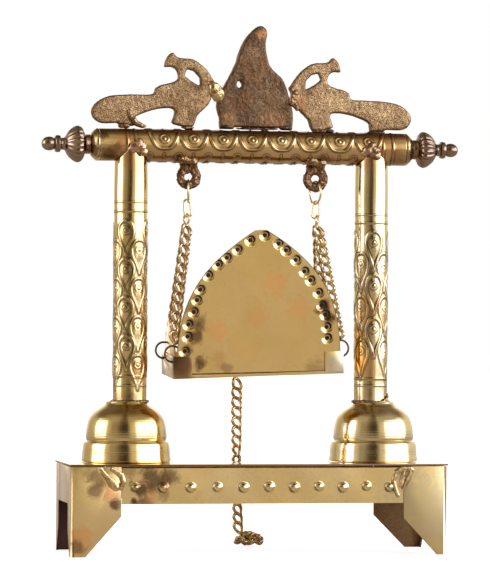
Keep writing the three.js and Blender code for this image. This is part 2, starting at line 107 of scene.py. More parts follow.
class Tree:
    """Short hand for building a node tree."""

    def __init__(self, tree):
        self.tree = tree
        tree.nodes.clear()

    def add(self, kind, inputs=None, **settings):
        made = self.tree.nodes.new(kind)
        for key, value in settings.items():
            setattr(made, key, value)
        for key, value in (inputs or {}).items():
            self.put(value, made.inputs[key])
        return made

    def put(self, value, socket):
        """Joins another node's output to an input, or sets it to a plain value."""
        if isinstance(value, bpy.types.NodeSocket):
            self.tree.links.new(value, socket)
        else:
            socket.default_value = value

    def math(self, operation, a, b=0.0, c=0.0):
        made = self.add("ShaderNodeMath", {0: a, 1: b, 2: c}, operation=operation)
        return made.outputs[0]

    def ramp(self, factor, stops):
        """A value or colour from a list of places between 0 and 1 and what it is there."""
        made = self.add("ShaderNodeValToRGB", {"Fac": factor})
        elements = made.color_ramp.elements
        while len(elements) < len(stops):
            elements.new(0.5)
        for element, (place, value) in zip(elements, stops):
            element.position = place
            element.color = (value, value, value, 1) if isinstance(value, (int, float)) else (*value, 1)
        return made.outputs["Color"]

    def mix(self, factor, a, b):
        """A colour that goes from a to b as factor goes from 0 to 1."""
        made = self.add("ShaderNodeMix", data_type="RGBA")
        self.put(factor, made.inputs["Factor"])
        for value, socket in ((a, made.inputs[6]), (b, made.inputs[7])):
            self.put((*value, 1) if isinstance(value, tuple) else value, socket)
        return made.outputs[2]

    def noise(self, vector, scale, detail=3.0, roughness=0.55, distortion=0.0):
        made = self.add("ShaderNodeTexNoise", {"Vector": vector, "Scale": scale, "Detail": detail})
        made.inputs["Roughness"].default_value = roughness
        made.inputs["Distortion"].default_value = distortion
        return made.outputs["Fac"]


STUDIO_PEAK = 5.2
# Degrees round from the camera's own direction, and how bright the studio is there.
AROUND = [
    (-180, 1.6), (-150, 1.1), (-134, 0.66), (-112, 0.75), (-101, 0.95), (-94, 4.2), (-62, 4.4), (-55, 0.95),
    (-46, 0.74), (-37, 0.42), (-28, 0.45), (-19, 0.27), (-10, 0.12), (-1, 0.06), (7, 0.09), (12, 0.42),
    (17, 0.84), (30, 1.10), (37, 4.6), (98, 5.2), (107, 1.1), (127, 1.0), (150, 1.0), (180, 1.6),
]
# The studio's hue at each brightness: brown in the shade, cool white in the soft boxes.
HUES = [
    (0.0, (1.0, 0.74, 0.56)), (0.10, (1.0, 0.93, 0.84)), (0.25, (1.0, 0.98, 0.95)), (0.7, (0.93, 1.0, 1.45)),
]
# Brightness of the ceiling by height, from 0 straight down to 1 straight up.
CEILING = [(0.80, 0.62), (0.93, 0.58), (0.98, 0.32), (1.0, 0.26)]


def make_world():
    """Two tall soft boxes either side of a dark camera stand, under a dim ceiling."""
    world = bpy.data.worlds.new("studio")
    bpy.context.scene.world = world
    world.use_nodes = True
    tree = Tree(world.node_tree)
    direction = tree.add("ShaderNodeTexCoord").outputs["Generated"]
    parts = tree.add("ShaderNodeSeparateXYZ", {0: direction})
    behind = tree.math("MULTIPLY", parts.outputs["Y"], -1.0)
    turn = tree.math("ARCTAN2", parts.outputs["X"], behind)
    turn = tree.math("SUBTRACT", turn, CAMERA_TURN)
    place = tree.math("FRACT", tree.math("ADD", tree.math("MULTIPLY", turn, 1 / (2 * math.pi)), 0.5))
    ring = tree.ramp(place, [((degrees + 180) / 360, value / STUDIO_PEAK) for degrees, value in AROUND])
    rise = tree.math("MULTIPLY_ADD", parts.outputs["Z"], 0.5, c=0.5)
    front = tree.math("MULTIPLY_ADD", behind, 0.5, c=0.5)
    ceiling = tree.ramp(rise, [(height, value / STUDIO_PEAK) for height, value in CEILING])
    ceiling = tree.math("MULTIPLY", ceiling, tree.ramp(front, [(0.35, 0.4), (0.58, 1.0)]))
    ceiling = tree.math("MULTIPLY", ceiling, tree.ramp(ring, [(0.01, 0.3), (0.09, 1.0)]))
    glow = tree.mix(tree.ramp(rise, [(0.70, 0.0), (0.82, 1.0)]), ring, ceiling)
    hue = tree.ramp(glow, HUES)
    strength = tree.math("MULTIPLY", glow, STUDIO_PEAK)
    lit = tree.add("ShaderNodeBackground", {"Color": hue, "Strength": strength})
    plain = tree.add("ShaderNodeBackground", {"Color": (1, 1, 1, 1), "Strength": 1.0})
    seen = tree.add("ShaderNodeLightPath").outputs["Is Camera Ray"]
    both = tree.add("ShaderNodeMixShader", {0: seen, 1: lit.outputs[0], 2: plain.outputs[0]})
    tree.add("ShaderNodeOutputWorld", {"Surface": both.outputs[0]})


FLOOR_HALF = 6.0  # metres
FLOOR_GLOW = 0.66


def make_stage():
    """A pale floor. It is brighter to the eye than in reflections."""
    mesh = bpy.data.meshes.new("floor")
    corners = [(x * FLOOR_HALF, y * FLOOR_HALF, 0) for x, y in ((-1, -1), (1, -1), (1, 1), (-1, 1))]
    mesh.from_pydata(corners, [], [(0, 1, 2, 3)])
    floor = bpy.data.objects.new("floor", mesh)
    bpy.context.scene.collection.objects.link(floor)
    material = bpy.data.materials.new("pale_floor")
    material.use_nodes = True
    tree = Tree(material.node_tree)
    where = tree.add("ShaderNodeTexCoord").outputs["Object"]
    shade = tree.noise(where, 6.0)
    paint = tree.mix(shade, (0.80, 0.80, 0.79), (0.84, 0.84, 0.83))
    pale = tree.add("ShaderNodeBsdfPrincipled", {
        "Base Color": paint, "Roughness": 0.9,
        "Emission Color": (1, 1, 1, 1), "Emission Strength": FLOOR_GLOW,
    })
    reflected = tree.mix(shade, (0.70, 0.64, 0.55), (0.74, 0.68, 0.59))
    dim = tree.add("ShaderNodeBsdfDiffuse", {"Color": reflected})
    seen = tree.add("ShaderNodeLightPath").outputs["Is Camera Ray"]
    both = tree.add("ShaderNodeMixShader", {0: seen, 1: dim.outputs[0], 2: pale.outputs[0]})
    tree.add("ShaderNodeOutputMaterial", {"Surface": both.outputs[0]})
    mesh.materials.append(material)


make_world()
make_stage()
bpy.context.scene.view_settings.view_transform = "Standard"

# ---- materials
# The colour of the painted shade on the aprons and the back of the seat.
PAINTED_SHADE = (0.030, 0.016, 0.008)
SOOT = (0.065, 0.035, 0.016)
UMBER = (0.17, 0.082, 0.030)
COPPER = (0.60, 0.26, 0.085)
ORANGE = (0.80, 0.42, 0.13)
SINGED = (0.42, 0.19, 0.065)


def on_face(y, *spots):
    """Stains that share one y. Each spot is x, z, radius, colour and strength."""
    return [((x, y, z), radius, hue, strength) for x, z, radius, hue, strength in spots]


def add_stains(tree, where, broken, ragged, stains, colour, rough):
    """Colour and roughness with stains laid over them. Soot has a singed ring round it."""
    for place, radius, hue, strength in stains:
        near = tree.add("ShaderNodeVectorMath", {0: where, 1: Vector(place) * MM}, operation="DISTANCE")
        reach = tree.math("DIVIDE", near.outputs["Value"], radius * MM)
        reach = tree.math("MULTIPLY_ADD", broken, ragged, tree.math("SUBTRACT", reach, 0.5 * ragged))
        mask = tree.ramp(reach, [(0.42, strength), (0.60, 0.6 * strength), (0.92, 0.0)])
        if hue == SOOT:
            colour = tree.mix(tree.ramp(reach, [(0.60, 0.5 * strength), (1.15, 0.0)]), colour, SINGED)
        colour = tree.mix(mask, colour, hue)
        rough = tree.math("MULTIPLY_ADD", mask, 0.10, rough)
    return colour, rough


def add_bumps(tree, shader, bumps):
    """Bumps, each a height and its depth in millimetres, one on top of another."""
    normal = None
    for height, depth in bumps:
        if depth:
            bump = tree.add("ShaderNodeBump", {"Height": height, "Distance": depth * MM})
            if normal:
                tree.put(normal, bump.inputs["Normal"])
            normal = bump.outputs["Normal"]
    if normal:
        tree.put(normal, shader.inputs["Normal"])


def brass(name, light, deep, roughness=0.14, waves=0.0, grain=0.0, grain_scale=900.0, turned=0.0, stains=(),
          patina=None, matte=0.0, specks=0.35, mottle=0.0, ragged=2.4):
    """Brass with slow colour drift, specks and patches of tarnish.

    waves is how far the sheet is out of flat and grain how rough a casting is, both in millimetres. turned is
    the depth of lathe marks. Each stain is a place and a radius in millimetres, a colour and how strong it
    is. ragged is how broken the edges of the stains are. mottle is how strongly a casting's hollows are
    darkened. patina is the colour of the marks that the piece carries in its point attribute: tarnish along
    raised lines, and on some pieces painted shade and painted dark reflections. matte is 1 where they hide
    the metal.
    """
    material = bpy.data.materials.new(name)
    material.use_nodes = True
    tree = Tree(material.node_tree)
    where = tree.add("ShaderNodeTexCoord").outputs["Object"]
    drift = tree.noise(where, 34.0, detail=4.0, distortion=0.7)
    fine = tree.noise(where, 1400.0, detail=2.0)
    sand = tree.noise(where, grain_scale, detail=4.0, roughness=0.7)
    colour = tree.mix(tree.ramp(drift, [(0.36, 0.0), (0.68, 1.0)]), light, deep)
    colour = tree.mix(tree.ramp(fine, [(0.60, 0.0), (0.78, specks)]), colour, UMBER)
    broken = tree.noise(where, 150.0, detail=8.0, roughness=0.68, distortion=0.6)
    if mottle:
        colour = tree.mix(tree.ramp(broken, [(0.38, 0.7 * mottle), (0.58, 0.0)]), colour, UMBER)
        colour = tree.mix(tree.ramp(sand, [(0.42, mottle), (0.54, 0.0)]), colour, SOOT)
    rough = tree.math("MULTIPLY_ADD", drift, 0.14, roughness - 0.06)
    colour, rough = add_stains(tree, where, broken, ragged, stains, colour, rough)
    if patina:
        shade_and_tarnish = tree.add("ShaderNodeAttribute", attribute_name="patina").outputs["Fac"]
        shade_and_tarnish = tree.math("MULTIPLY", shade_and_tarnish, tree.ramp(broken, [(0.25, 0.7), (0.55, 1.0)]))
        if matte:
            shade_and_tarnish = tree.ramp(shade_and_tarnish, [(0.12, 0.0), (0.72, 1.0)])
        colour = tree.mix(shade_and_tarnish, colour, patina)
        rough = tree.math("MULTIPLY_ADD", shade_and_tarnish, 0.16 + 0.3 * matte, rough)
    shader = tree.add("ShaderNodeBsdfPrincipled", {"Base Color": colour})
    shader.inputs["Metallic"].default_value = 1.0
    if matte:
        shader.inputs["Specular IOR Level"].default_value = 0.1
        tree.put(tree.math("MULTIPLY_ADD", shade_and_tarnish, -matte, 1.0), shader.inputs["Metallic"])
    tree.put(tree.math("MAXIMUM", rough, 0.05), shader.inputs["Roughness"])
    bumps = [(tree.noise(where, 30.0, detail=1.0), waves), (sand, grain)]
    bumps.append((tree.noise(where, 210.0, detail=2.0), 0.2 * waves + 0.5 * grain))
    if turned:
        rings = tree.add("ShaderNodeTexWave", {"Vector": where, "Scale": 420.0, "Distortion": 0.4})
        rings.bands_direction = "Z"
        bumps.append((rings.outputs["Fac"], turned))
    add_bumps(tree, shader, bumps)
    tree.add("ShaderNodeOutputMaterial", {"Surface": shader.outputs[0]})
    return material


DULL = (0.50, 0.43, 0.25)  # the cooler, greyer brass of the right-hand side
TUBE_LIGHT, TUBE_DEEP = (0.68, 0.51, 0.22), (0.56, 0.385, 0.125)
TUBE_COLOURS = {"left": (TUBE_LIGHT, TUBE_DEEP), "right": ((0.71, 0.565, 0.29), (0.60, 0.445, 0.185))}


def sheet_brass(name, stains, **more):
    """The brass of the swing's sheet pieces."""
    settings = {"roughness": 0.16, "waves": 0.08, "stains": stains, **more}
    return brass(name, (0.88, 0.63, 0.235), (0.80, 0.54, 0.175), **settings)


def base_sheet(name, stains, **more):
    """The paler brass of the base."""
    settings = {"roughness": 0.16, "stains": stains, **more}
    return brass(name, (0.84, 0.63, 0.275), (0.78, 0.55, 0.20), **settings)


def cast_brass(name, light, deep, stains, **more):
    """Sand-cast brass, with dark hollows."""
    settings = {"roughness": 0.27, "grain": 0.30, "grain_scale": 1500.0, "specks": 0.5, "mottle": 0.85,
                "stains": stains, "patina": UMBER, **more}
    return brass(name, light, deep, **settings)


chain_brass = brass("chain_brass", (0.94, 0.73, 0.36), (0.78, 0.54, 0.22), roughness=0.16, specks=0.4,
                    patina=(0.13, 0.068, 0.026))
dark_wire = brass("dark_wire", (0.15, 0.095, 0.06), (0.07, 0.045, 0.03), roughness=0.36, grain=0.04)
# Painted shade for the faces inside the base: dark brass, darker on the left than on the right.
shade_inside_left = brass("painted_shade_inside_left", (0.10, 0.048, 0.034), (0.06, 0.03, 0.022), roughness=0.5)
shade_inside_right = brass("painted_shade_inside_right", (0.42, 0.26, 0.105), (0.22, 0.12, 0.045), roughness=0.42, mottle=0.25)
# Painted shade for the edges of the base's top plate.
shaded_plate_edge = brass("shaded_plate_edge", (0.24, 0.14, 0.07), (0.16, 0.09, 0.045), roughness=0.3)
solder_bright = brass("solder_bright", (0.76, 0.54, 0.23), (0.62, 0.40, 0.14), roughness=0.26, waves=0.06,
                      mottle=0.5, grain_scale=500.0)
solder_pink = brass("solder_pink", (0.62, 0.31, 0.19), (0.50, 0.33, 0.15), roughness=0.28, waves=0.15,
                    mottle=0.7, grain_scale=330.0)
solder_brown = brass("solder_brown", (0.46, 0.29, 0.12), (0.22, 0.12, 0.05), roughness=0.26, grain=0.05,
                     mottle=0.7)
solder_dark = brass("solder_dark", (0.20, 0.13, 0.08), (0.07, 0.045, 0.028), roughness=0.4, grain=0.06)


# ---- mesh helpers
def finish_piece(name, mesh, materials, slot, body="frame", replaces=(), sharp=None, patina=None):
    """One piece from a mesh. sharp is the angle, in degrees, past which an edge is drawn crisp."""
    mesh.validate()
    mesh.update()
    mesh.polygons.foreach_set("use_smooth", [True] * len(mesh.polygons))
    if sharp is not None:
        mesh.set_sharp_from_angle(angle=math.radians(sharp))
    # Marks at each point: tarnish, and on some pieces painted shade and painted dark reflections.
    if patina is not None:
        shade_and_tarnish = mesh.attributes.new("patina", "FLOAT", "POINT")
        shade_and_tarnish.data.foreach_set("value", np.asarray(patina, dtype=np.float32).ravel())
    made = bpy.data.objects.new(name, mesh)
    bpy.context.scene.collection.objects.link(made)
    for material in materials if isinstance(materials, (list, tuple)) else [materials]:
        mesh.materials.append(material)
    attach(made, body)
    if replaces:
        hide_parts(*replaces)
    return made


def make(name, points, faces, materials, **more):
    """One piece from points in millimetres. The rest is as for finish_piece."""
    mesh = bpy.data.meshes.new(name)
    mesh.from_pydata((np.asarray(points, dtype=float) * MM).tolist(), [], faces)
    return finish_piece(name, mesh, materials, **more)


def quads(rows, columns, wrap=False, closed=False, first=0, flip=False):
    """Faces of a grid of points that are numbered row by row, from first on. wrap joins the last column to
    the first, and closed the last row to the first."""
    faces = []
    for i in range(rows if closed else rows - 1):
        n = (i + 1) % rows
        for j in range(columns if wrap else columns - 1):
            k = (j + 1) % columns
            face = (i * columns + j, i * columns + k, n * columns + k, n * columns + j)
            faces.append(tuple(first + corner for corner in (face[::-1] if flip else face)))
    return faces


class Relief:
    """Raised lines on an unrolled surface, with tarnish along them. u runs round the surface and repeats
    after period, and v runs along it."""

    def __init__(self, u, v, period=1e6, tarnish=1.0):
        self.u, self.v, self.period, self.tarnish = u, v, period, tarnish
        self.height = np.zeros_like(u)
        self.patina = np.zeros_like(u)

    def across(self, u0):
        """How far each point is from u0, the short way round."""
        return (self.u - u0 + self.period / 2) % self.period - self.period / 2

    def raise_by(self, mask, near, width, rise):
        """Raises the points in mask, which are near away from the middle of a line."""
        self.height[mask] = np.maximum(self.height[mask], rise * np.exp(-((near / width) ** 2)))
        edge = self.tarnish * np.exp(-(((near - 1.5 * width) / (0.7 * width)) ** 2))
        self.patina[mask] = np.maximum(self.patina[mask], edge)

    def ring(self, u0, v0, radius, width, rise):
        """A raised ring."""
        distance = np.hypot(self.across(u0), self.v - v0)
        mask = distance < radius + 4 * width
        self.raise_by(mask, np.abs(distance[mask] - radius), width, rise)

    def knob(self, u0, v0, radius, rise):
        """A small round bump."""
        distance = np.hypot(self.across(u0), self.v - v0)
        mask = distance < 3 * radius
        self.height[mask] += rise * np.exp(-((distance[mask] / radius) ** 2))

    def swell(self, u0, v0, half_u, half_v, rise):
        """A soft oval bump."""
        du, dv = self.across(u0) / half_u, (self.v - v0) / half_v
        self.height += rise * np.exp(-(du**2) - dv**2)

    def stroke(self, points, width, rise):
        """A raised line through points that are less than half a period from the first."""
        points = np.array(points, dtype=float)
        du, v = self.across(points[0, 0]), self.v
        local = points - [points[0, 0], 0]
        low, high = local.min(axis=0) - 4 * width, local.max(axis=0) + 4 * width
        mask = (du > low[0]) & (du < high[0]) & (v > low[1]) & (v < high[1])
        pu, pv = du[mask], v[mask]
        nearest = np.full(pu.shape, 1e6)
        for (au, av), (bu, bv) in zip(local[:-1], local[1:]):
            length = max((bu - au) ** 2 + (bv - av) ** 2, 1e-9)
            t = np.clip(((pu - au) * (bu - au) + (pv - av) * (bv - av)) / length, 0, 1)
            nearest = np.minimum(nearest, np.hypot(pu - au - t * (bu - au), pv - av - t * (bv - av)))
        self.raise_by(mask, nearest, width, rise)

    def band(self, v0, width, rise):
        """A raised line all the way round."""
        distance = np.abs(self.v - v0)
        mask = distance < 4 * width
        self.raise_by(mask, distance[mask], width, rise)


SOFT_STEPS = 5  # points on a smooth curve from each given point to the next


def soft(points):
    """A smooth curve through a few points."""
    points = np.array(points, dtype=float)
    padded = np.vstack([2 * points[0] - points[1], points, 2 * points[-1] - points[-2]])
    curve = []
    for a, b, c, d in zip(padded, padded[1:], padded[2:], padded[3:]):
        for t in np.arange(SOFT_STEPS) / SOFT_STEPS:
            curve.append(0.5 * (2 * b + (c - a) * t + (2 * a - 5 * b + 4 * c - d) * t**2
                                + (3 * b - a - 3 * c + d) * t**3))
    return np.array(curve + [points[-1]])


def hollow_tube(name, place, angles, along, radius, wall, materials, **more):
    """A tube with a given outer radius at each row and column, closed by a plain inner wall.
    place(angle, along, r) gives a point, and along may differ from column to column."""
    rows, columns = along.shape
    outer = place(angles[None, :] + 0 * along, along, radius)
    inner = place(np.tile(angles, (2, 1)), along[[0, -1]], np.full((2, columns), wall))
    points = np.concatenate([outer.reshape(-1, 3), inner.reshape(-1, 3)])
    faces = quads(rows, columns, wrap=True)
    base = rows * columns
    faces += quads(2, columns, wrap=True, first=base, flip=True)
    for j in range(columns):
        k = (j + 1) % columns
        faces.append((k, j, base + j, base + k))
        top = base - columns
        faces.append((top + j, top + k, base + columns + k, base + columns + j))
    return make(name, points, faces, materials, **more)


def turned_piece(name, profile, place, materials, segments=96, flute=None, **more):
    """A turned piece from pairs of radius and height that start and end on the axis. place(angle, height, r)
    gives a point, and flute(angle, height) scales the radius."""
    profile = np.array(profile, dtype=float)
    height = np.tile(profile[:, 1:], (1, segments))
    radius = np.tile(profile[:, :1], (1, segments))
    turn = around(segments)[None, :] + 0 * height
    if flute:
        radius = radius * flute(turn, height)
    points = place(turn, height, radius).reshape(-1, 3)
    made = make(name, points, quads(len(profile), segments, wrap=True), materials, **more)
    work = bmesh.new()
    work.from_mesh(made.data)
    bmesh.ops.remove_doubles(work, verts=work.verts, dist=1e-6)
    bmesh.ops.recalc_face_normals(work, faces=work.faces)
    work.to_mesh(made.data)
    work.free()
    return made


def applied(mesh, *modifiers):
    """The mesh after modifiers, each a type and its settings."""
    holder = bpy.data.objects.new("holder", mesh)
    bpy.context.scene.collection.objects.link(holder)
    for kind, settings in modifiers:
        modifier = holder.modifiers.new(kind, kind)
        for key, value in settings.items():
            setattr(modifier, key, value)
    graph = bpy.context.evaluated_depsgraph_get()
    result = bpy.data.meshes.new_from_object(holder.evaluated_get(graph))
    bpy.data.objects.remove(holder)
    result.materials.clear()
    return result


def welded(node):
    """A copy of a CAD node's mesh with its corners joined and its flat faces whole."""
    work = bmesh.new()
    work.from_mesh(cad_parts[node].data)
    bmesh.ops.remove_doubles(work, verts=work.verts, dist=2e-6)
    bmesh.ops.dissolve_limit(work, angle_limit=math.radians(1), verts=work.verts, edges=work.edges)
    mesh = bpy.data.meshes.new(node)
    work.to_mesh(mesh)
    work.free()
    return mesh


def faces_in(centre, normal):
    """True for faces that look into the base."""
    return normal.x * centre.x < -0.6 * abs(centre.x) or normal.y * centre.y < -0.6 * abs(centre.y)


def is_rim(centre, normal):
    """True for the edges of a level sheet."""
    return abs(normal.z) < 0.5


def folded_sheet(node, materials, body="frame", bevel=0.14, second=None, fold=0.0):
    """A sheet node with its edges rounded, and its outer upright corner more so if it has a fold. Faces that
    second(centre, normal) picks take the second material."""
    mesh = welded(node)
    weights = mesh.attributes.new("bevel_weight_edge", "FLOAT", "EDGE")
    corner_reach = max(math.hypot(vertex.co.x, vertex.co.y) for vertex in mesh.vertices) - 0.2 * MM
    for edge in mesh.edges:
        ends = [mesh.vertices[n].co for n in edge.vertices]
        corner = fold and all(math.hypot(end.x, end.y) > corner_reach for end in ends)
        weights.data[edge.index].value = 1.0 if corner else bevel / max(fold, bevel)
    width = max(fold, bevel) * MM
    mesh = applied(mesh, ("BEVEL", {"width": width, "segments": 4, "limit_method": "WEIGHT"}))
    made = finish_piece(node + "_sheet", mesh, materials, "polished_brass", body, (node,), sharp=35)
    if second:
        for polygon in made.data.polygons:
            polygon.material_index = int(second(polygon.center, polygon.normal))
    return made


def lumpy(mesh, depth, scale, seed, offset=0.0):
    """Moves each point of a mesh along its normal by noise. depth is in millimetres and scale is per
    millimetre. offset moves the whole surface outwards."""
    shift = Vector((seed * 7.3, seed * 3.1, seed * 5.7))  # each seed has a part of the noise to itself
    moves = []
    for vertex in mesh.vertices:
        place = vertex.co / MM
        coarse = noise.noise(place * scale + shift)
        fine = noise.noise(place * scale * 3.1 + shift)
        moves.append(vertex.normal * ((coarse + 0.45 * fine) * depth + offset) * MM)
    for vertex, move in zip(mesh.vertices, moves):
        vertex.co += move


def blob(name, lumps, material, seed, replaces=(), voxel=0.32, rough=0.25):
    """A lump of run metal, from ellipsoids given by centre and three radii."""
    work = bmesh.new()
    for x, y, z, rx, ry, rz in lumps:
        turn = Matrix.Translation(Vector((x, y, z)) * MM) @ Matrix.Diagonal((rx * MM, ry * MM, rz * MM, 1))
        bmesh.ops.create_icosphere(work, subdivisions=3, radius=1, matrix=turn)
    mesh = bpy.data.meshes.new(name)
    work.to_mesh(mesh)
    work.free()
    mesh = applied(mesh, ("REMESH", {"mode": "VOXEL", "voxel_size": voxel * MM}),
                   ("SMOOTH", {"iterations": 5}))
    lumpy(mesh, rough, 0.5, seed)
    return finish_piece(name, mesh, material, "solder", replaces=replaces)


def dribble(path, steps=6):
    """Close-set lumps along a path of lumps."""
    path = np.array(path, dtype=float)
    lumps = [a + (b - a) * n / steps for a, b in zip(path, path[1:]) for n in range(steps)]
    return [tuple(lump) for lump in lumps + [path[-1]]]


OUTLINE = 0.75  # width of the painted shade line round a casting's edges
CAST_LUMPS = 0.8  # lumps and slow warping of a casting, per millimetre
CAST_WARP = 0.12


def casting(node, materials, depth, seed, voxel=0.4, front=None, offset=0.0):
    """A sand casting with the outline of a CAD node. front(relief) draws the raised lines of its front."""
    mesh = applied(welded(node), ("TRIANGULATE", {}), ("REMESH", {"mode": "VOXEL", "voxel_size": voxel * MM}),
                   ("SMOOTH", {"iterations": 4}))
    lumpy(mesh, depth, CAST_LUMPS, seed, offset)
    lumpy(mesh, 1.6 * depth, CAST_WARP, seed + 9)
    mesh.update()
    facing = np.array([vertex.normal.y for vertex in mesh.vertices])
    rim = KDTree(len(facing))
    for index in np.flatnonzero(np.abs(facing) < 0.6):
        rim.insert(mesh.vertices[index].co, int(index))
    rim.balance()
    apart = np.array([rim.find(vertex.co)[2] for vertex in mesh.vertices]) / MM
    # A painted shade line round the casting's edges, near the faces that turn sideways.
    patina = 0.9 * np.clip(1.15 - apart / OUTLINE, 0, 1)
    if front:
        points = np.array([vertex.co[:] for vertex in mesh.vertices]) / MM
        ahead = np.clip(facing * 2 - 0.8, 0, 1)
        relief = Relief(points[:, 0].copy(), points[:, 2].copy())
        front(relief)
        points[:, 1] += relief.height * ahead
        mesh.vertices.foreach_set("co", (points * MM).ravel())
        patina = np.maximum(patina, relief.patina * ahead)
    return finish_piece(node + "_casting", mesh, materials, "cast_brass", "frame", (node,), patina=patina)


def closed_wire(centres, radius, sides, first=0):
    """Points and faces of round wire along a closed line. first is the number of its first point."""
    ahead = np.roll(centres, -1, axis=0) - np.roll(centres, 1, axis=0)
    ahead /= np.linalg.norm(ahead, axis=1)[:, None]
    middle = centres.mean(axis=0)
    out = centres - middle
    out -= (out * ahead).sum(axis=1)[:, None] * ahead
    out /= np.linalg.norm(out, axis=1)[:, None]
    side = np.cross(ahead, out)
    turn = around(sides)
    rim = out[:, None, :] * np.cos(turn)[None, :, None] + side[:, None, :] * np.sin(turn)[None, :, None]
    points = (centres[:, None, :] + radius * rim).reshape(-1, 3)
    return points, quads(len(centres), sides, wrap=True, closed=True, first=first, flip=True)


# ---- posts and beam
beam_low, beam_high = span("beam_tube")
BEAM_Z = (beam_low[2] + beam_high[2]) / 2
BEAM_RADIUS = (beam_high[2] - beam_low[2]) / 2
TUBE_STEP = 0.3  # spacing of the points on an embossed tube
EMBOSS_DROP = 0.22  # the plain metal lies this far under the raised lines
JOINT_GAP = 0.3  # between the beam and the pieces that meet it

HEAT = [((-59, -8, 188), 9, COPPER, 0.5), ((58, -8, 189), 9, COPPER, 0.5)]

DROP = soft([(0, 4.6), (2.3, 3.8), (3.9, 1.0), (3.6, -2.8), (1.9, -6.6), (0.7, -9.4), (0, -11.8)])
DROP_PITCH = 18.3  # the pitch at which DROP is drawn unstretched
MOTIF_COLUMNS = 8


def embossed_tube(name, node, place, angles, along, radius, relief, wobble, material):
    """A pressed tube in place of a CAD node, with relief's lines raised on it."""
    plain = radius - EMBOSS_DROP
    hollow_tube(name, place, angles, along, plain + relief.height + wobble, plain - SHEET, material,
                slot="embossed_brass", replaces=(node,),
                patina=np.concatenate([relief.patina.ravel(), np.zeros(2 * len(angles))]))


def post_motif(relief, u, v, stretch, wear):
    """A ringed eye inside a long drop."""
    relief.swell(u, v - 1.6, 2.4, 4.2, 0.22)
    relief.ring(u, v, 1.6, 0.45, 0.30 * wear)
    relief.knob(u, v, 0.7, 0.2 * wear)
    for mirror in (-1, 1):
        relief.stroke([(u + mirror * x, v + y * stretch) for x, y in DROP], 0.62, 0.36 * wear)


def make_post(name, pitch, top_eye, turn, bands, stains):
    """An embossed post. Its motifs are pitch apart down the post, the highest at top_eye, and turn shifts
    them round it. bands are the heights of the scored lines, from the top. The motifs lie between the middle
    two."""
    low, high = span("post_" + name)
    x, radius = (low[0] + high[0]) / 2, (high[0] - low[0]) / 2
    angles = around(round(2 * math.pi * radius / TUBE_STEP))
    facing = angles + CAMERA_TURN
    shoulder = BEAM_Z - BEAM_RADIUS - 1
    reach = np.maximum((BEAM_RADIUS + JOINT_GAP) ** 2 - (radius * np.cos(facing)) ** 2, 0)
    mouth = BEAM_Z - np.sqrt(reach)
    straight = np.arange(low[2], shoulder, TUBE_STEP)
    above = shoulder + np.linspace(0.05, 1, 10)[:, None] * (mouth - shoulder)[None, :]
    along = np.concatenate([np.tile(straight[:, None], (1, len(angles))), above])
    relief = Relief(radius * angles[None, :] + 0 * along, along, 2 * math.pi * radius, tarnish=0.7)
    rng = random.Random(len(name))
    step = relief.period / MOTIF_COLUMNS
    for column in range(MOTIF_COLUMNS):
        v = top_eye - (column % 2) * pitch / 2
        while v > bands[2] + 4:
            if v < bands[1] - 4:
                u = turn + column * step + rng.uniform(-0.5, 0.5)
                post_motif(relief, u, v, pitch / DROP_PITCH, rng.uniform(0.6, 1.0))
            v -= pitch
    for v in bands:
        relief.band(v, 0.32, 0.22)
    outside = (along > bands[1]) | (along < bands[2])
    from_band = np.minimum(abs(along - bands[1]), abs(along - bands[2]))
    relief.height[outside & (from_band > 1.2)] *= 0.3
    wobble = 0.06 * np.sin(along * 0.21 + 2 * facing) + 0.05 * np.sin(along * 0.083 + 1.3)
    material = brass("post_brass_" + name, *TUBE_COLOURS[name], roughness=0.13, waves=0.06, patina=SOOT,
                     stains=HEAT + stains)

    def place(angle, height, r):
        return np.stack([x + r * np.sin(angle), -r * np.cos(angle), height], -1)

    embossed_tube(f"post_{name}_tube", "post_" + name, place, facing, along, radius, relief, wobble,
                  material)


make_post("left", pitch=18.3, top_eye=154.2, turn=-1.9, bands=(167.9, 163.5, 84.7, 80.3), stains=[
    ((-54, -7, 88), 10, ORANGE, 0.55), ((-55, -7, 118), 8, ORANGE, 0.4), ((-60, -8, 74), 5, UMBER, 0.6),
])
make_post("right", pitch=21.0, top_eye=149.8, turn=1.0, bands=(163.2, 159.3, 83.8, 80.5), stains=[
    ((56, -8, 92), 9, ORANGE, 0.6), ((57, -8, 116), 12, ORANGE, 0.45), ((52, -8, 90), 6, ORANGE, 0.4),
])

SCALLOP_HALF = 7.15  # half the width of a scallop, along the beam
SCALLOP_DEPTH = 8.4
SCALLOP_ROWS = 3
FIRST_SCALLOP = -44.2
FIRST_ROW = -1.9  # how far round the beam the first row starts
SCALLOPS = 8
BEAM_STAINS = [
    ((-62, -8, 198), 8, COPPER, 0.6), ((-70, -6, 192), 7, UMBER, 0.75), ((64, -8, 198), 9, COPPER, 0.45),
    ((-36, -5, 188), 6, UMBER, 0.7), ((34, -5, 188), 7, UMBER, 0.7), ((-20, 0, 204), 8, COPPER, 0.5),
    ((6, -4, 203), 9, UMBER, 0.55), ((71, -6, 190), 6, UMBER, 0.5), ((-73, -7, 200), 4, UMBER, 0.9),
    ((-71, -7, 190), 5, SOOT, 0.6), ((-63, -7, 190), 4, UMBER, 0.8),
]


def scallop(relief, base, x):
    """A scallop with a ringed eye in it, and a small ring and a bar below."""
    curve = [(base + SCALLOP_DEPTH * abs(a) ** 3.2, x + SCALLOP_HALF * a) for a in np.linspace(-1, 1, 23)]
    relief.stroke(curve, 0.6, 0.62)
    relief.swell(base + 4.6, x, 3.2, 4.4, 0.2)
    relief.ring(base + 5.0, x, 1.95, 0.55, 0.42)
    relief.knob(base + 5.0, x, 0.8, 0.3)
    relief.ring(base - 4.0, x - SCALLOP_HALF, 1.5, 0.42, 0.34)
    relief.stroke([(base - 2.6, x), (base - 6.2, x)], 0.42, 0.34)


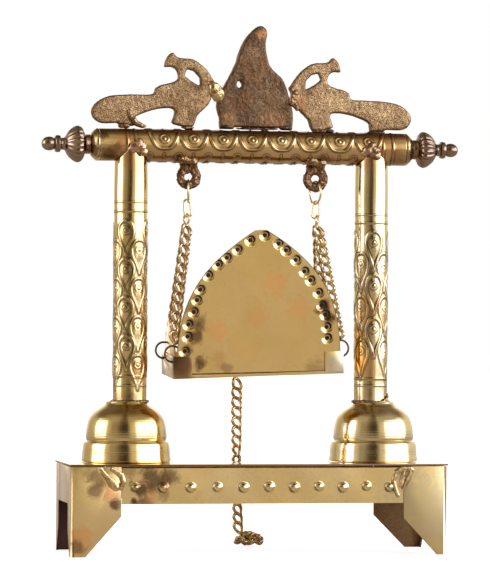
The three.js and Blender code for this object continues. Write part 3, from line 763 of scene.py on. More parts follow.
def make_beam():
    """The beam, with rows of scallops round it and scored lines near its ends."""
    angles = around(round(2 * math.pi * BEAM_RADIUS / TUBE_STEP))
    stations = np.arange(beam_low[0], beam_high[0] + 0.01, TUBE_STEP)
    along = np.tile(stations[:, None], (1, len(angles)))
    relief = Relief(-BEAM_RADIUS * angles[None, :] + 0 * along, along, 2 * math.pi * BEAM_RADIUS, tarnish=0.8)
    for row in range(SCALLOP_ROWS):
        base = FIRST_ROW + row * relief.period / SCALLOP_ROWS
        for i in range(SCALLOPS):
            scallop(relief, base, FIRST_SCALLOP + 2 * SCALLOP_HALF * i)
    for x in (-61.9, -58.0, 63.4, 68.3):
        relief.band(x, 0.5, 0.3)
    # Painted shade along the underside of the beam and a painted dark reflection along its top, laid in with
    # the tarnish of the raised lines.
    below = np.clip(np.sin(angles) * 0.9, 0, 1)
    above = np.clip(-np.sin(angles) * 3.0 - 1.4, 0, 1)
    relief.patina = np.clip(relief.patina + 0.62 * below + 0.75 * above, 0, 1)
    wobble = 0.05 * np.sin(along * 0.3 + 3 * angles) + 0.05 * np.sin(along * 0.11)
    material = brass("beam_brass", (0.70, 0.48, 0.20), (0.52, 0.32, 0.11), roughness=0.11, waves=0.06,
                     patina=UMBER, stains=BEAM_STAINS)

    def place(angle, x, r):
        return np.stack([x, -r * np.cos(angle), BEAM_Z - r * np.sin(angle)], -1)

    embossed_tube("beam_tube_embossed", "beam_tube", place, angles, along, BEAM_RADIUS, relief, wobble,
                  material)


make_beam()

CAP = [(0, 0), (7.7, 0), (7.85, 0.25), (7.9, 0.7), (7.6, 1.3), (6.6, 2.5), (5.5, 3.5), (5.1, 3.7), (0, 3.7)]
FINIAL = [
    (0, 4), (4.7, 4), (4.7, 6.2), (5.2, 6.5), (6.2, 6.9), (7.3, 7.5), (8.1, 8.3), (8.55, 9.3), (8.55, 10.2),
    (8.1, 11.5), (7.3, 12.7), (6.4, 13.8), (5.3, 14.8), (4.2, 15.5), (3.2, 16.0), (2.9, 16.6), (2.9, 17.8),
    (3.3, 18.1), (4.0, 18.3), (4.15, 19.3), (4.0, 20.4), (3.3, 20.8), (2.7, 21.0), (2.8, 21.5), (3.2, 22.1),
    (3.4, 23.4), (3.2, 24.8), (2.7, 25.9), (1.8, 26.7), (0.9, 27.1), (0, 27.2),
]
FLUTES = 18
FLUTE_DEPTH = 0.075  # as a share of the radius


def flute(angle, height):
    """How much the bulb of a finial swells and dips round its axis."""
    inside = np.clip((height - 6.4) / 1.2, 0, 1) * np.clip((15.4 - height) / 1.5, 0, 1)
    return 1 + inside * FLUTE_DEPTH * (np.abs(np.sin(FLUTES / 2 * angle)) - 0.6)


for name, side in SIDES:
    def outwards(angle, height, r, side=side):
        x = side * (beam_high[0] + JOINT_GAP + height)
        return np.stack([x, -r * np.cos(angle), BEAM_Z + r * np.sin(angle)], -1)

    cap_brass = brass("cap_brass_" + name, TUBE_LIGHT, TUBE_DEEP, roughness=0.18, waves=0.1,
                      stains=on_face(-5, (side * 78, 193, 6, UMBER, 0.85), (side * 77, 201, 4, SOOT, 0.5)))
    turned_piece(f"beam_cap_{name}_turned", CAP, outwards, cap_brass, slot="polished_brass", sharp=50,
                 replaces=("beam_cap_" + name,))
    neck = on_face(0, (side * 81, 195, 7, SOOT, 0.95 if name == "left" else 0.5))
    finial_brass = brass("finial_brass_" + name, (0.36, 0.25, 0.15), (0.20, 0.13, 0.075), roughness=0.2,
                         grain=0.03, stains=neck)
    turned_piece(f"finial_{name}_turned", FINIAL, outwards, finial_brass, segments=FLUTES * 8, flute=flute,
                 slot="cast_brass", sharp=60, replaces=("finial_" + name,))

# ---- bells
BELL = [
    (0, 0), (21.3, 0), (21.45, 0.3), (21.4, 1.2), (21.2, 2.4), (21.0, 5.0), (20.75, 8.0), (20.55, 9.0),
    (20.2, 9.5), (19.7, 9.75), (19.2, 9.8), (19.0, 10.1), (19.25, 10.6), (19.35, 11.5), (19.25, 14.0),
    (19.0, 17.0), (18.5, 19.2), (17.7, 21.2), (16.5, 22.8), (15.0, 24.2), (13.2, 25.5), (11.6, 26.4),
    (10.4, 27.3), (10.0, 28.0), (9.7, 28.75), (0, 28.75),
]
BELL_BOW = 0.005  # how far the bells are out of round, as a share of the radius

for name, side in SIDES:
    low, high = span("bell_foot_" + name)
    bell_x, bell_z = (low[0] + high[0]) / 2, low[2]

    def upright(angle, height, r, x=bell_x, z=bell_z):
        return np.stack([x + r * np.cos(angle), r * np.sin(angle), z + height], -1)

    def bow(angle, height, side=side):
        return 1 + BELL_BOW * np.cos(2 * angle + side) * np.clip(height / 9, 0, 1)

    stains = [((bell_x + 12, -12, 68), 8, ORANGE, 0.3), ((bell_x, -10, 72.5), 6, UMBER, 0.45)]
    bell_brass = brass("bell_brass_" + name, *TUBE_COLOURS[name], roughness=0.12, waves=0.02, turned=0.02,
                       stains=stains)
    turned_piece(f"bell_foot_{name}_turned", BELL, upright, bell_brass, segments=128, flute=bow,
                 slot="polished_brass", sharp=50, replaces=("bell_foot_" + name,))

# ---- base
APRON_FACE = 27.0  # how far the faces of the long aprons stand from the middle
APRON_SHEET = 0.7
FOLD = 1.9  # radius of the upright folds
JOINT_STAINS = on_face(
    -APRON_FACE,
    (-51.5, 37, 8.5, SOOT, 0.75), (-57, 32, 5.5, SOOT, 0.8), (-45, 38, 6.5, UMBER, 0.7),
    (-56, 26, 5, UMBER, 0.8), (-53, 28, 4.5, COPPER, 0.5), (-61, 26, 2.5, SOOT, 0.9),
    (-78, 37, 7, UMBER, 0.65), (-79, 31, 6, UMBER, 0.7), (-72, 29, 6, COPPER, 0.75),
    (-70, 25, 3.5, SOOT, 0.85), (-73, 41, 5, UMBER, 0.6), (-46, 29, 4, UMBER, 0.55),
    (-86, 9, 7, ORANGE, 0.75), (-88, 4, 5, UMBER, 0.7), (-83, 42, 9, UMBER, 0.3), (-30, 29, 3, COPPER, 0.3),
    (-64, 42.5, 7, UMBER, 0.5), (12, 44, 9, ORANGE, 0.25), (64, 31, 3, UMBER, 0.4), (69, 38, 4, UMBER, 0.5),
    (-30, 42, 8, ORANGE, 0.3), (80, 22, 28, DULL, 0.5),
)
UNDER_BELLS = on_face(0, (-59, 43, 30, UMBER, 0.25), (59, 43, 30, UMBER, 0.25))
base_brass = base_sheet("base_brass", JOINT_STAINS, waves=0.10)
plate_brass = base_sheet("plate_brass", UNDER_BELLS, roughness=0.06)
apron_brass = base_sheet("apron_brass", JOINT_STAINS, waves=0.09, patina=PAINTED_SHADE, matte=1.0)

# The plate's edges take painted shade.
folded_sheet("base_top_plate", [plate_brass, shaded_plate_edge], second=is_rim)
# The faces that look into the base take painted shade.
for name, inside_shade in (("left", shade_inside_left), ("right", shade_inside_right)):
    for end in ("rear", "front"):
        folded_sheet(f"leg_{end}_{name}", [base_brass, inside_shade], second=faces_in, fold=FOLD)
    folded_sheet(f"apron_{name}", [base_brass, inside_shade], second=faces_in)

DOME_RADII = (2.1, 2.6, 2.4, 2.3, 2.5, 2.5, 2.5, 2.2, 2.5, 2.2, 2.3)
DOME_HEIGHT = 1.25
DOME_LEVEL = 32.6


def dome_x(i):
    """The place of a dome along the apron. They stand closer together to the right."""
    return -60.3 + 13.4 * i - 0.113 * i * i


def sheet_grid(name, outer, depth, shade_and_tarnish, materials, **more):
    """A closed sheet from a grid of points on its outer face and the vector to its inner face. The fourth
    argument is the painted shade at each point of the outer face."""
    rows, columns = outer.shape[:2]
    points = np.concatenate([outer.reshape(-1, 3), (outer + depth).reshape(-1, 3)])
    far = rows * columns
    faces = quads(rows, columns) + quads(rows, columns, first=far, flip=True)
    rim = list(range(columns))
    rim += [i * columns + columns - 1 for i in range(1, rows)]
    rim += [(rows - 1) * columns + j for j in range(columns - 2, -1, -1)]
    rim += [i * columns for i in range(rows - 2, 0, -1)]
    for a, b in zip(rim, rim[1:] + rim[:1]):
        faces.append((b, a, far + a, far + b))
    patina = np.concatenate([shade_and_tarnish.ravel(), np.zeros(far)])
    return make(name, points, faces, materials, patina=patina, **more)


def make_apron(end, out):
    """A long apron with a row of punched domes. out is the way it faces, along Y."""
    low, high = span("apron_" + end)
    x, z = np.meshgrid(np.arange(low[0], high[0] + 0.2, 0.32), np.linspace(low[2], high[2], 58))
    # The sheet is a little out of flat.
    rise = 0.07 * np.sin(x * 0.09 + 0.7) * np.sin(z * 0.17) + 0.02 * np.sin(x * 0.31 + z * 0.2)
    shade_and_tarnish = np.zeros_like(x)
    for i, radius in enumerate(DOME_RADII):
        r = np.hypot(x - dome_x(i), z - DOME_LEVEL - 0.25 * math.sin(3.0 * i)) / radius
        rise = rise + DOME_HEIGHT * np.clip(1 - r**2, 0, 1) ** 0.62
        away, up = (x - dome_x(i)) / radius, (z - DOME_LEVEL) / radius
        # Painted shade lies in a crescent under one side of each dome, and a painted dark reflection in a
        # spot near its top.
        crescent = np.exp(-(((r - 0.88) / 0.2) ** 2)) * np.clip(-0.75 * away - 0.6 * up, 0, 1)
        spot = np.exp(-(((away + 0.12) / 0.42) ** 2) - ((up - 0.5) / 0.26) ** 2)
        shade_and_tarnish = np.maximum(shade_and_tarnish, np.maximum(0.9 * crescent, 0.95 * spot))
    # A painted shadow along the top of the apron, under the edge of the plate.
    top_edge = np.clip((z - high[2] + 0.8) / 0.3, 0, 1)
    shade_and_tarnish = np.maximum(shade_and_tarnish, 0.9 * top_edge)
    outer = np.stack([x, out * (APRON_FACE + rise - 0.15), z], -1)
    if out > 0:
        outer, shade_and_tarnish = outer[:, ::-1], shade_and_tarnish[:, ::-1]
    sheet_grid(f"apron_{end}_punched", outer, np.array([0, -out * APRON_SHEET, 0]), shade_and_tarnish, apron_brass,
               slot="embossed_brass", sharp=40, replaces=("apron_" + end,))


make_apron("rear", -1)
make_apron("front", 1)

# Each run of solder is a path of x, z, half width and half height.
LEG_RUNS = {
    "left": [
        [(-76.8, 41.6, 0.7, 1.0), (-75.2, 39.2, 1.1, 1.3), (-73.2, 36.8, 1.4, 1.5), (-71.2, 34.6, 2.3, 2.2),
         (-69.6, 32.6, 1.7, 1.8)],
        [(-71.6, 41.4, 0.8, 1.2), (-69.4, 40.2, 1.2, 1.2), (-67.0, 38.2, 1.3, 1.8), (-66.2, 35.4, 1.3, 1.8),
         (-67.4, 32.6, 1.4, 1.4)],
    ],
    "right": [
        [(72.6, 41.4, 1.2, 1.0), (68.4, 41.2, 1.6, 1.2), (65.6, 39.4, 1.1, 1.4), (64.4, 35.4, 1.0, 1.8),
         (65.4, 31.2, 0.9, 1.6), (66.6, 28.4, 0.8, 1.2)],
        [(73.0, 40.6, 1.5, 1.4), (71.8, 37.4, 1.4, 1.8), (70.2, 34.2, 1.3, 1.8), (69.2, 32.0, 0.9, 1.0)],
        [(69.6, 40.0, 1.0, 1.0), (68.6, 36.4, 0.9, 1.6), (67.8, 33.4, 0.8, 1.2)],
    ],
}
RUN_FACE = -27.45  # y of the middle of a run
RUN_DEPTH = 0.55  # half the thickness of a run
for name, _ in SIDES:
    runs = [(x, RUN_FACE, z, rx, RUN_DEPTH, rz) for path in LEG_RUNS[name] for x, z, rx, rz in dribble(path)]
    blob(f"solder_leg_{name}_run", runs, solder_bright, seed=2, replaces=("solder_leg_" + name,), voxel=0.22,
         rough=0.06)

# ---- solder at the joints
for name, seed in (("left", 4), ("right", 5)):
    low, high = span("solder_post_" + name)
    x, z = (low[0] + high[0]) / 2, (low[2] + high[2]) / 2
    lumps = [
        (x, -8.9, z + 0.8, 4.2, 1.5, 3.0), (x + 2.4, -8.4, z - 1.6, 2.6, 1.3, 2.4),
        (x - 2.8, -8.3, z - 0.6, 2.4, 1.2, 2.0), (x + 0.4, -8.6, z + 3.2, 2.2, 1.2, 1.8),
        (x + 1.6, -9.4, z + 0.4, 1.4, 1.2, 1.2),
    ]
    blob(f"solder_post_{name}_run", lumps, solder_pink, seed=seed, replaces=("solder_post_" + name,))

COLLAR_RADIUS = 8.3  # of the run of solder round the foot of each post
bell_top = span("bell_foot_left")[1][2]
for name, spots, seed in (("left", (250, 268, 284, 300), 50), ("right", (262, 296, 304, 312), 54)):
    low, high = span("post_" + name)
    x = (low[0] + high[0]) / 2
    lumps = []
    for n, degrees in enumerate(spots):
        a = math.radians(degrees)
        lumps.append((x + COLLAR_RADIUS * math.cos(a), COLLAR_RADIUS * math.sin(a), bell_top,
                      0.9 + 0.5 * (n % 2), 0.7, 0.6 + 0.3 * (n % 2)))
    for a in np.arange(0, 2 * math.pi, 0.16):
        r = COLLAR_RADIUS + 0.1
        lumps.append((x + r * math.cos(a), r * math.sin(a), bell_top, 1.1, 1.1, 0.8))
    if name == "right":  # the ragged one
        lumps += [
            (x + 6.6, -5.4, bell_top + 1.2, 1.0, 0.9, 1.6), (x + 5.2, -6.9, bell_top + 0.9, 1.3, 0.8, 0.8),
            (x + 7.6, -3.6, bell_top + 2.8, 0.7, 0.8, 1.5), (x - 5.0, -6.8, bell_top + 0.4, 1.4, 0.8, 0.7),
        ]
    blob(f"solder_bell_{name}_run", lumps, solder_brown, voxel=0.24, rough=0.14, seed=seed)

# ---- crest and peacocks
FRONT_RISE = 0.7


def crest_front(relief):
    """A generic flame and lotus pattern."""
    for inset in (3.0, 5.4):
        half, top = 18 - inset, 252 - 2.6 * inset
        for mirror in (-1, 1):
            flame = [(0.92, 208), (1, 215), (0.72, 226), (0.36, 236)]
            side = [(mirror * half * share, z) for share, z in flame] + [(0.6, top)]
            relief.stroke(soft(side), 0.55, FRONT_RISE)
    for i in range(-3, 4):
        petal = [(-1.7, 207), (-1.2, 211), (0, 213.4), (1.2, 211), (1.7, 207)]
        relief.stroke(soft([(3.6 * i + x, z) for x, z in petal]), 0.45, FRONT_RISE)
    relief.swell(0, 220, 4.2, 5.5, 1.3)
    relief.ring(0, 220, 6.0, 0.5, FRONT_RISE)
    for a in around(8):
        relief.ring(8.6 * math.cos(a), 220 + 8.0 * math.sin(a), 0.9, 0.4, 0.5)


def bird_front(side, lift):
    """Eye, wing and tail feathers."""
    def draw(relief):
        def feather(points, width, rise=FRONT_RISE):
            relief.stroke(soft([(side * (x + 0.6), z + lift) for x, z in points]), width, rise)

        relief.ring(side * 38.0, 236.2 + lift, 0.8, 0.35, FRONT_RISE)
        for inset in (0, 2.2, 4.4):
            feather([(24 + inset, 217), (31, 221.5 - 0.8 * inset), (40, 219.5 - inset), (46 - inset, 216.4),
                     (38, 214.4), (28 + inset, 213.8)], 0.5)
        for x in (56, 63, 70):
            relief.ring(side * (x + 0.6), 211.8 + lift, 2.2, 0.45, FRONT_RISE)
            relief.knob(side * (x + 0.6), 211.8 + lift, 0.8, FRONT_RISE)
        feather([(48, 216), (58, 216.6), (68, 215.6), (74, 212.4)], 0.4)
        feather([(48, 213.4), (57, 208.6), (66, 207.6), (73, 208.4)], 0.4)
        for z in (219, 222, 225):
            feather([(20.2, z), (22.5, z + 1.6), (25, z + 1.4)], 0.35, 0.5)
    return draw


CREST_STAINS = on_face(
    -2,
    (23, 222, 4, ORANGE, 0.7), (-19, 224, 4, ORANGE, 0.6), (8, 240, 6, SOOT, 0.55), (0, 236, 8, SOOT, 0.4),
    (10, 208, 8, COPPER, 0.2), (-12, 207, 7, ORANGE, 0.2), (4, 250, 3, COPPER, 0.5), (-8, 216, 6, SOOT, 0.35),
    (9, 219, 5, SOOT, 0.3),
)
BIRD_STAINS = (
    (27, 225, 5, SOOT, 0.5), (36, 236, 4, UMBER, 0.4), (30, 208, 5, UMBER, 0.5), (22, 216, 6, COPPER, 0.25),
    (20, 220, 3, ORANGE, 0.7),
)
BIRD_TOP = 239.7  # the top of a bird as its front is drawn

CAST_SHRINK = 0.05  # how far the crest and birds are drawn inside their CAD shapes

crest_brass = cast_brass("crest_brass", (0.215, 0.132, 0.06), (0.065, 0.037, 0.018), CREST_STAINS, grain=0.24)
casting("crest_plate", crest_brass, depth=0.12, seed=11, front=crest_front, offset=-CAST_SHRINK)
for name, side in SIDES:
    lift = span("peacock_" + name)[1][2] - BIRD_TOP
    stains = on_face(-2, *((side * x, *rest) for x, *rest in BIRD_STAINS))
    bird_brass = cast_brass("peacock_brass_" + name, (0.56, 0.36, 0.15), (0.36, 0.22, 0.085), stains,
                            grain=0.26, mottle=0.7)
    casting("peacock_" + name, bird_brass, depth=0.10, seed=12 + side, front=bird_front(side, lift),
            offset=-CAST_SHRINK)

blob("solder_crest_left_run", dribble([
    (-20.6, -1.6, 225.6, 1.7, 1.1, 1.6), (-18.8, -1.9, 223.6, 3.0, 1.5, 2.4),
    (-17.8, -2.0, 221.2, 3.8, 1.6, 2.4), (-17.2, -1.8, 218.2, 2.5, 1.2, 1.8),
], 3), solder_bright, rough=0.28, seed=21)
blob("solder_crest_right_run", dribble([
    (18.4, -1.7, 224.0, 1.2, 0.9, 1.4), (20.2, -1.8, 221.4, 2.0, 1.2, 1.8),
    (19.4, -1.8, 217.6, 1.8, 1.2, 2.0), (21.4, -1.6, 214.6, 1.2, 0.8, 1.6),
], 3), solder_brown, rough=0.4, seed=22)
blob("solder_crest_foot_run", [
    (-13.4, -1.4, 205.0, 3.2, 1.2, 1.0), (16.2, -1.4, 205.0, 3.0, 1.1, 0.9),
    (2.5, 0.2, 204.4, 11.0, 1.6, 0.7),
], solder_dark, rough=0.35, seed=23)
drip = dribble([
    (-60.6, -2.2, 211.6, 0.8, 0.8, 1.2), (-59.6, -2.3, 209.0, 1.4, 1.0, 1.6),
    (-57.6, -2.2, 206.2, 1.8, 1.1, 1.6), (-54.0, -1.9, 204.4, 2.2, 1.1, 0.9),
], 4)
feet = [(-63.0, -1.8, 204.6, 3.2, 1.2, 1.4), (-32, -1.0, 204.2, 3.4, 1.4, 0.9)]
blob("solder_bird_foot_left_run", drip + feet, solder_brown, rough=0.3, seed=24)
blob("solder_bird_foot_right_run", [
    (61, -1.2, 203.4, 4.6, 1.4, 1.2), (33, -1.2, 203.6, 4.0, 1.5, 1.0), (38, -1.6, 203.8, 2.4, 1.2, 0.9),
], solder_dark, rough=0.35, seed=25)

for name, x in (("left", -32.6), ("right", 30.6)):
    blob(f"solder_eye_{name}_run", [
        (x, -4.4, 188.2, 5.6, 1.5, 2.0), (x - 2.2, -5.4, 189.2, 2.8, 1.1, 1.5),
        (x + 2.4, -4.6, 188.0, 3.0, 1.2, 2.0),
    ], solder_brown, rough=0.4, seed=27)

# ---- eyes and hung rings
for name, side in SIDES:
    eye_brass = cast_brass("eye_brass_" + name, (0.46, 0.28, 0.12), (0.15, 0.070, 0.035),
                           on_face(-3, (side * 31, 186, 5, UMBER, 0.6)), roughness=0.28, grain=0.15)
    casting("swing_eye_" + name, eye_brass, voxel=0.3, depth=0.42, seed=31 + side)

UP = (0, 0, 1)
RING_POINTS = 40
RING_SIDES = 10
LINK_RING_RADIUS = 1.6
LINK_RING_STRETCH = 2.55
JUMP_RING_WIRE = 0.55
RING_YAW = {"left": math.radians(-11), "right": math.radians(17)}


def ring_points(middle, radius, across, upward, stretch=0.0):
    """A circle of points in the plane of two directions, pulled longer along the second."""
    turn = around(RING_POINTS)[:, None]
    reach = radius * np.sin(turn) + stretch * np.tanh(6 * np.sin(turn))
    return np.array(middle) + radius * np.cos(turn) * np.array(across) + reach * np.array(upward)


def middle_and_half(node):
    low, high = span(node)
    return (low + high) / 2, (high - low) / 2


def wire_ring(node, points, wire=WIRE, material=chain_brass, slot="chain_brass"):
    """A ring of wire, in place of a CAD node that swings."""
    return make(node + "_wire", *closed_wire(points, wire, RING_SIDES), material, slot=slot, body="swing",
                replaces=(node,))


def round_ring(node, across, **more):
    """A round ring that stands upright in its CAD node's place, with across its level direction."""
    middle, half = middle_and_half(node)
    return wire_ring(node, ring_points(middle, half[2] - WIRE, across, UP), **more)


for name, side in SIDES:
    yaw = RING_YAW[name]
    round_ring("top_ring_" + name, (-math.sin(yaw), math.cos(yaw), 0))
    lean = math.radians(5) * side
    upward, across = (math.sin(lean), 0, math.cos(lean)), (math.cos(lean), 0, -math.sin(lean))
    middle, _ = middle_and_half("link_ring_" + name)
    wire_ring("link_ring_" + name, ring_points(middle, LINK_RING_RADIUS, across, upward, LINK_RING_STRETCH))
    round_ring("jump_ring_" + name, (0.35 * side, 0.937, 0), wire=JUMP_RING_WIRE)
    for end in ("rear", "front"):
        round_ring(f"seat_ring_{end}_{name}", (1, 0.12, 0), material=dark_wire, slot="dark_wire")

# ---- chains
LINK_PITCH = 4.7
LINK_WIRE = 0.84
LINK_HALF_WIDTH = 1.83
LINK_HALF_LENGTH = 2.95
LINK_TWIST = 1.05
LINK_LEAN = 0.42  # how far a link leans across the chain, in radians
LINK_SIDES = 8
LINK_POINTS = 26
HEAP_PITCH = 4.2
HEAP_WIRE = 0.68


def link_line():
    """The middle of one link's wire: a leaning oval, twisted so that its neighbours pass through it."""
    turn = around(LINK_POINTS)
    oval = [LINK_HALF_WIDTH * np.cos(turn), LINK_TWIST * np.sin(2 * turn), LINK_HALF_LENGTH * np.sin(turn)]
    cos, sin = math.cos(LINK_LEAN), math.sin(LINK_LEAN)
    return np.stack(oval, -1) @ np.array([[cos, 0, -sin], [0, 1, 0], [sin, 0, cos]])


def links(node, places, body, seed, swirl=0.12, wire=LINK_WIRE):
    """Curb links in place of a CAD node. Each place is a middle, the direction of the chain and the link's
    roll about that."""
    rng = random.Random(seed)
    line = link_line()
    # Painted shade on the inner and outer sides of each link's wire; the faces of the link stay bright.
    shade_and_tarnish = np.tile(np.clip(1.3 * np.cos(around(LINK_SIDES)) ** 2 - 0.35, 0, 0.9), LINK_POINTS)
    points, faces = [], []
    for middle, along, roll in places:
        along = np.array(along) / np.linalg.norm(along)
        wide = np.array([1.0, 0, 0]) - along[0] * along
        if np.linalg.norm(wide) < 0.3:
            wide = np.array([0, 1.0, 0]) - along[1] * along
        wide /= np.linalg.norm(wide)
        deep = np.cross(along, wide)
        roll += rng.uniform(-swirl, swirl)
        cos, sin = math.cos(roll), math.sin(roll)
        axes = np.stack([cos * wide + sin * deep, cos * deep - sin * wide, along])
        centres = np.array(middle) + line @ axes
        more, rings = closed_wire(centres, wire, LINK_SIDES, first=len(shade_and_tarnish) * len(points))
        points.append(more)
        faces += rings
    return make(node + "_links", np.concatenate(points), faces, chain_brass, slot="chain_brass", body=body,
                replaces=(node,), patina=np.tile(shade_and_tarnish, len(places)))


def strand(start, end, roll, twist):
    """Places for links in a straight line. roll is the first link's, and twist is how far the strand turns
    from there to its end."""
    length = np.linalg.norm(end - start)
    count = round(length / LINK_PITCH)
    along = (end - start) / length
    middles = [start + along * length * (i + 0.5) / count for i in range(count)]
    return [(middle, along, roll + twist * i / count) for i, middle in enumerate(middles)]


def bar_ends(node):
    """The middles of the two ends of a bar node."""
    points = np.array([vertex.co[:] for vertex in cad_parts[node].data.vertices]) / MM
    z = points[:, 2]
    ends = points[z > z.max() - 1.2], points[z < z.min() + 1.2]
    return [(end.min(axis=0) + end.max(axis=0)) / 2 for end in ends]


# The roll of each strand's first link and its twist, in radians.
CHAIN_ROLLS = {
    ("rear", "left"): (0.15, 0.5), ("front", "left"): (-0.3, 0.4),
    ("rear", "right"): (0.1, -0.4), ("front", "right"): (-0.5, 0.6),
}
for (end, name), (roll, twist) in CHAIN_ROLLS.items():
    node = f"chain_{end}_{name}"
    links(node, strand(*bar_ends(node), roll, twist), "swing", seed=len(node) + 7 * len(end))

# ---- seat
SEAT_MIDDLE = Vector((1.5, 4.4, 86.0))
SEAT_PITCH = math.radians(3.6)
SEAT_ROLL = math.radians(-2.2)
SEAT_TURN = Matrix.Rotation(SEAT_PITCH, 3, "X") @ Matrix.Rotation(SEAT_ROLL, 3, "Y")
BACK_HALF = 39.9
BACK_TOP = 70.0
BACK_FACE = -15.9  # the rear face of the back plate, in the seat's own frame
DENT_RADIUS = 2.7
DENT_DEPTH = 0.8
LEFT_DENTS = [
    (-34.5, 96.7), (-33.3, 103.8), (-33.0, 109.5), (-30.5, 115.5), (-29.0, 121.2), (-27.5, 126.1),
    (-23.7, 133.0), (-19.1, 138.2), (-14.9, 141.5), (-9.7, 145.5), (-3.6, 149.9),
]
RIGHT_DENTS = [
    (3.4, 152.4), (10.2, 148.5), (13.8, 145.3), (18.7, 140.8), (23.0, 135.3), (26.1, 131.1),
    (30.1, 125.2), (31.9, 119.2), (33.7, 114.7), (34.5, 108.7), (34.9, 103.4),
]
BACK_DARK = [
    ((-29.5, -13, 103.5), 4.5, SOOT, 0.75), ((-27.5, -12, 108), 4, SOOT, 0.6),
    ((-25, -11, 116), 3, UMBER, 0.6), ((-32, -12, 118), 5, UMBER, 0.5), ((32.5, -12, 118.5), 5, SOOT, 0.9),
    ((35, -12, 113), 4, SOOT, 0.9), ((-27.5, -13, 91.5), 4.5, SOOT, 0.8), ((-33, -13, 97), 4, UMBER, 0.6),
    ((-29, -12, 111), 5, SOOT, 0.5), ((-13.8, -11, 134), 1.0, SOOT, 0.7), ((32, -12, 124), 4, COPPER, 0.4),
]
BACK_WARM = on_face(
    -12,
    (8, 130, 9, ORANGE, 0.8), (-19, 107, 7, ORANGE, 0.85), (20, 117, 8, ORANGE, 0.6),
    (0, 115, 8, ORANGE, 0.6), (-18, 92, 6, COPPER, 0.35), (-5, 99, 10, ORANGE, 0.2),
    (-14, 88.5, 4, UMBER, 0.45), (30, 88.5, 8, UMBER, 0.4),
)


def back_outline(rows):
    """Half the width of the back plate at each height."""
    t = np.linspace(0, 1, 80)
    corners = np.array([(BACK_HALF, 8), (BACK_HALF - 0.2, 36), (30, 53), (2.9, BACK_TOP - 0.2)])
    weights = np.stack([(1 - t) ** 3, 3 * t * (1 - t) ** 2, 3 * t**2 * (1 - t), t**3], -1)
    curve = np.vstack([[(BACK_HALF, 0)], weights @ corners, [(0.3, BACK_TOP)]])
    return np.interp(rows, curve[:, 1], curve[:, 0])


def make_back():
    """The pointed back plate, with a row of punched dents round its arch and a narrow fold along its foot."""
    rows = np.concatenate([np.arange(1.1, 3.9, 0.15), np.arange(4.0, 69.6, 0.4), [69.8, BACK_TOP]])
    across = np.linspace(-1, 1, 200)
    half = back_outline(rows)[:, None]
    x = half * across[None, :] - math.tan(SEAT_ROLL) * rows[:, None]
    z = np.tile(rows[:, None], (1, len(across)))
    turn = np.array(SEAT_TURN)
    placed = np.stack([x, np.full_like(x, BACK_FACE), z], -1) @ turn.T + np.array(SEAT_MIDDLE)
    push = 0.10 * np.sin(x * 0.07 + 0.4) * np.cos(z * 0.06) + 0.04 * np.sin(x * 0.2 + z * 0.13)
    lip = 2.1 - 0.012 * (x + BACK_HALF)  # the top of the fold
    push -= 0.2 * np.clip((lip - z) / 0.3, 0, 1)
    # Painted shade in the crease at the top of the fold and along the side edges of the plate.
    under_lip = np.exp(-(((z - lip) / 0.36) ** 2))
    rim = np.clip((np.abs(across) * half - half + 0.6) / 0.4, 0, 1)
    shade_and_tarnish = np.maximum(under_lip, 0.8 * rim)
    for dent_x, dent_z in LEFT_DENTS + RIGHT_DENTS:
        away, up = placed[..., 0] - dent_x, placed[..., 2] - dent_z
        r = np.hypot(away, up)
        # Painted shade: a dark disc set up and to the right of each dent's middle, with a lighter ring in it.
        dark_ring = np.clip((2.35 - np.hypot(away - 0.45, up - 0.4)) / 0.7, 0, 1)
        shade_and_tarnish = np.maximum(shade_and_tarnish, dark_ring * (1 - 0.8 * np.exp(-(((r - 1.3) / 0.3) ** 2))))
        inside = np.clip(r / DENT_RADIUS, 0, 1)
        push = push + DENT_DEPTH * np.clip(1 - inside**2, 0, 1) ** 0.8
        push -= 0.4 * np.exp(-((r / 0.6) ** 2))
    placed = placed + push[..., None] * turn[:, 1]
    back_brass = sheet_brass("seat_back_brass", BACK_DARK + BACK_WARM, waves=0.05, patina=PAINTED_SHADE, matte=1.0)
    sheet_grid("seat_back_dented", placed, np.array(SEAT_TURN @ Vector((0, SHEET, 0))), shade_and_tarnish, back_brass,
               slot="polished_brass", body="swing", sharp=45, replaces=("seat_back",))


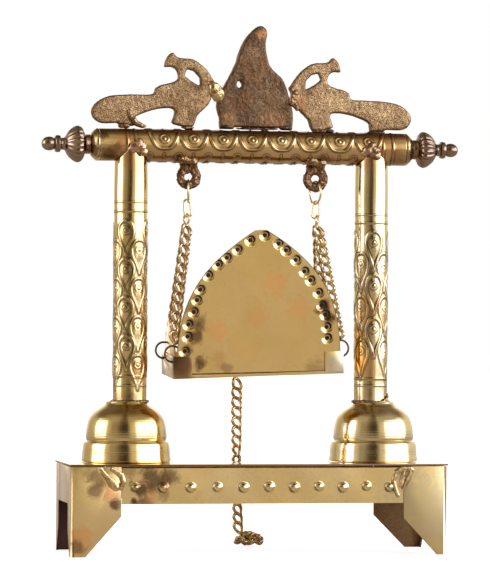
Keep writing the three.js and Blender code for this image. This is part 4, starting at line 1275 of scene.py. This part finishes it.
make_back()
TRAY_STAINS = [
    ((-36, -12.5, 91), 9, UMBER, 0.98), ((-36, -12.5, 91), 8, SOOT, 0.8), ((40, -12.5, 91), 9, DULL, 0.9),
    ((-36, -12.5, 86), 8, UMBER, 0.7), ((40, 20, 90), 8, UMBER, 0.4), ((-40, 18, 90), 6, UMBER, 0.8),
]
tray_brass = sheet_brass("tray_brass", TRAY_STAINS, waves=0.05, ragged=0.3)
folded_sheet("seat_tray", tray_brass, body="swing", bevel=0.12)
side_brass = sheet_brass("side_brass", [((-38, -8, 92), 9, UMBER, 0.7), ((42, 0, 100), 8, ORANGE, 0.4)])
for name, _ in SIDES:
    folded_sheet("seat_side_" + name, side_brass, body="swing", bevel=0.12)

# ---- pull chain
SWAY = np.array([2.2, 0, 0])  # the end of the pull chain hangs a little to one side
SAG = np.array([0, 0, 2.0])  # the lower length reaches this far into the heap

round_ring("pull_ring", (0, 1, 0))
top, bottom = bar_ends("pull_chain_upper")
links("pull_chain_upper", strand(top, bottom + SWAY, 0.0, 1.4), "pull_upper", seed=3)
top, bottom = bar_ends("pull_chain_lower")
links("pull_chain_lower", strand(top + SWAY, bottom + 1.4 * SWAY - SAG, 1.1, -0.5), "pull_lower", seed=4)


def heap_places():
    """Links along a tangled line that fills the heap's oval."""
    middle, half = middle_and_half("pull_chain_heap")
    turn = np.linspace(0, 1, 600) * 2 * math.pi
    tangle = np.stack([-np.cos(2.5 * turn), np.sin(4.2 * turn + 0.6), np.cos(3.3 * turn)], -1)
    room = (half - (2.0, 2.4, 2.2)) * (0.95, 0.7, 0.6)
    line = middle + (1.6, -0.2, -0.35) + room * tangle
    steps = np.linalg.norm(np.diff(line, axis=0), axis=1)
    walked = np.concatenate([[0], np.cumsum(steps)])

    def at(distance):
        return np.array([np.interp(distance, walked, line[:, k]) for k in range(3)])

    places = []
    for n in range(int(walked[-1] / HEAP_PITCH)):
        here = at((n + 0.5) * HEAP_PITCH)
        places.append((here, at((n + 0.9) * HEAP_PITCH) - here, 1.3 * n))
    return places


links("pull_chain_heap", heap_places(), "pull_lower", seed=5, swirl=0.4, wire=HEAP_WIRE)
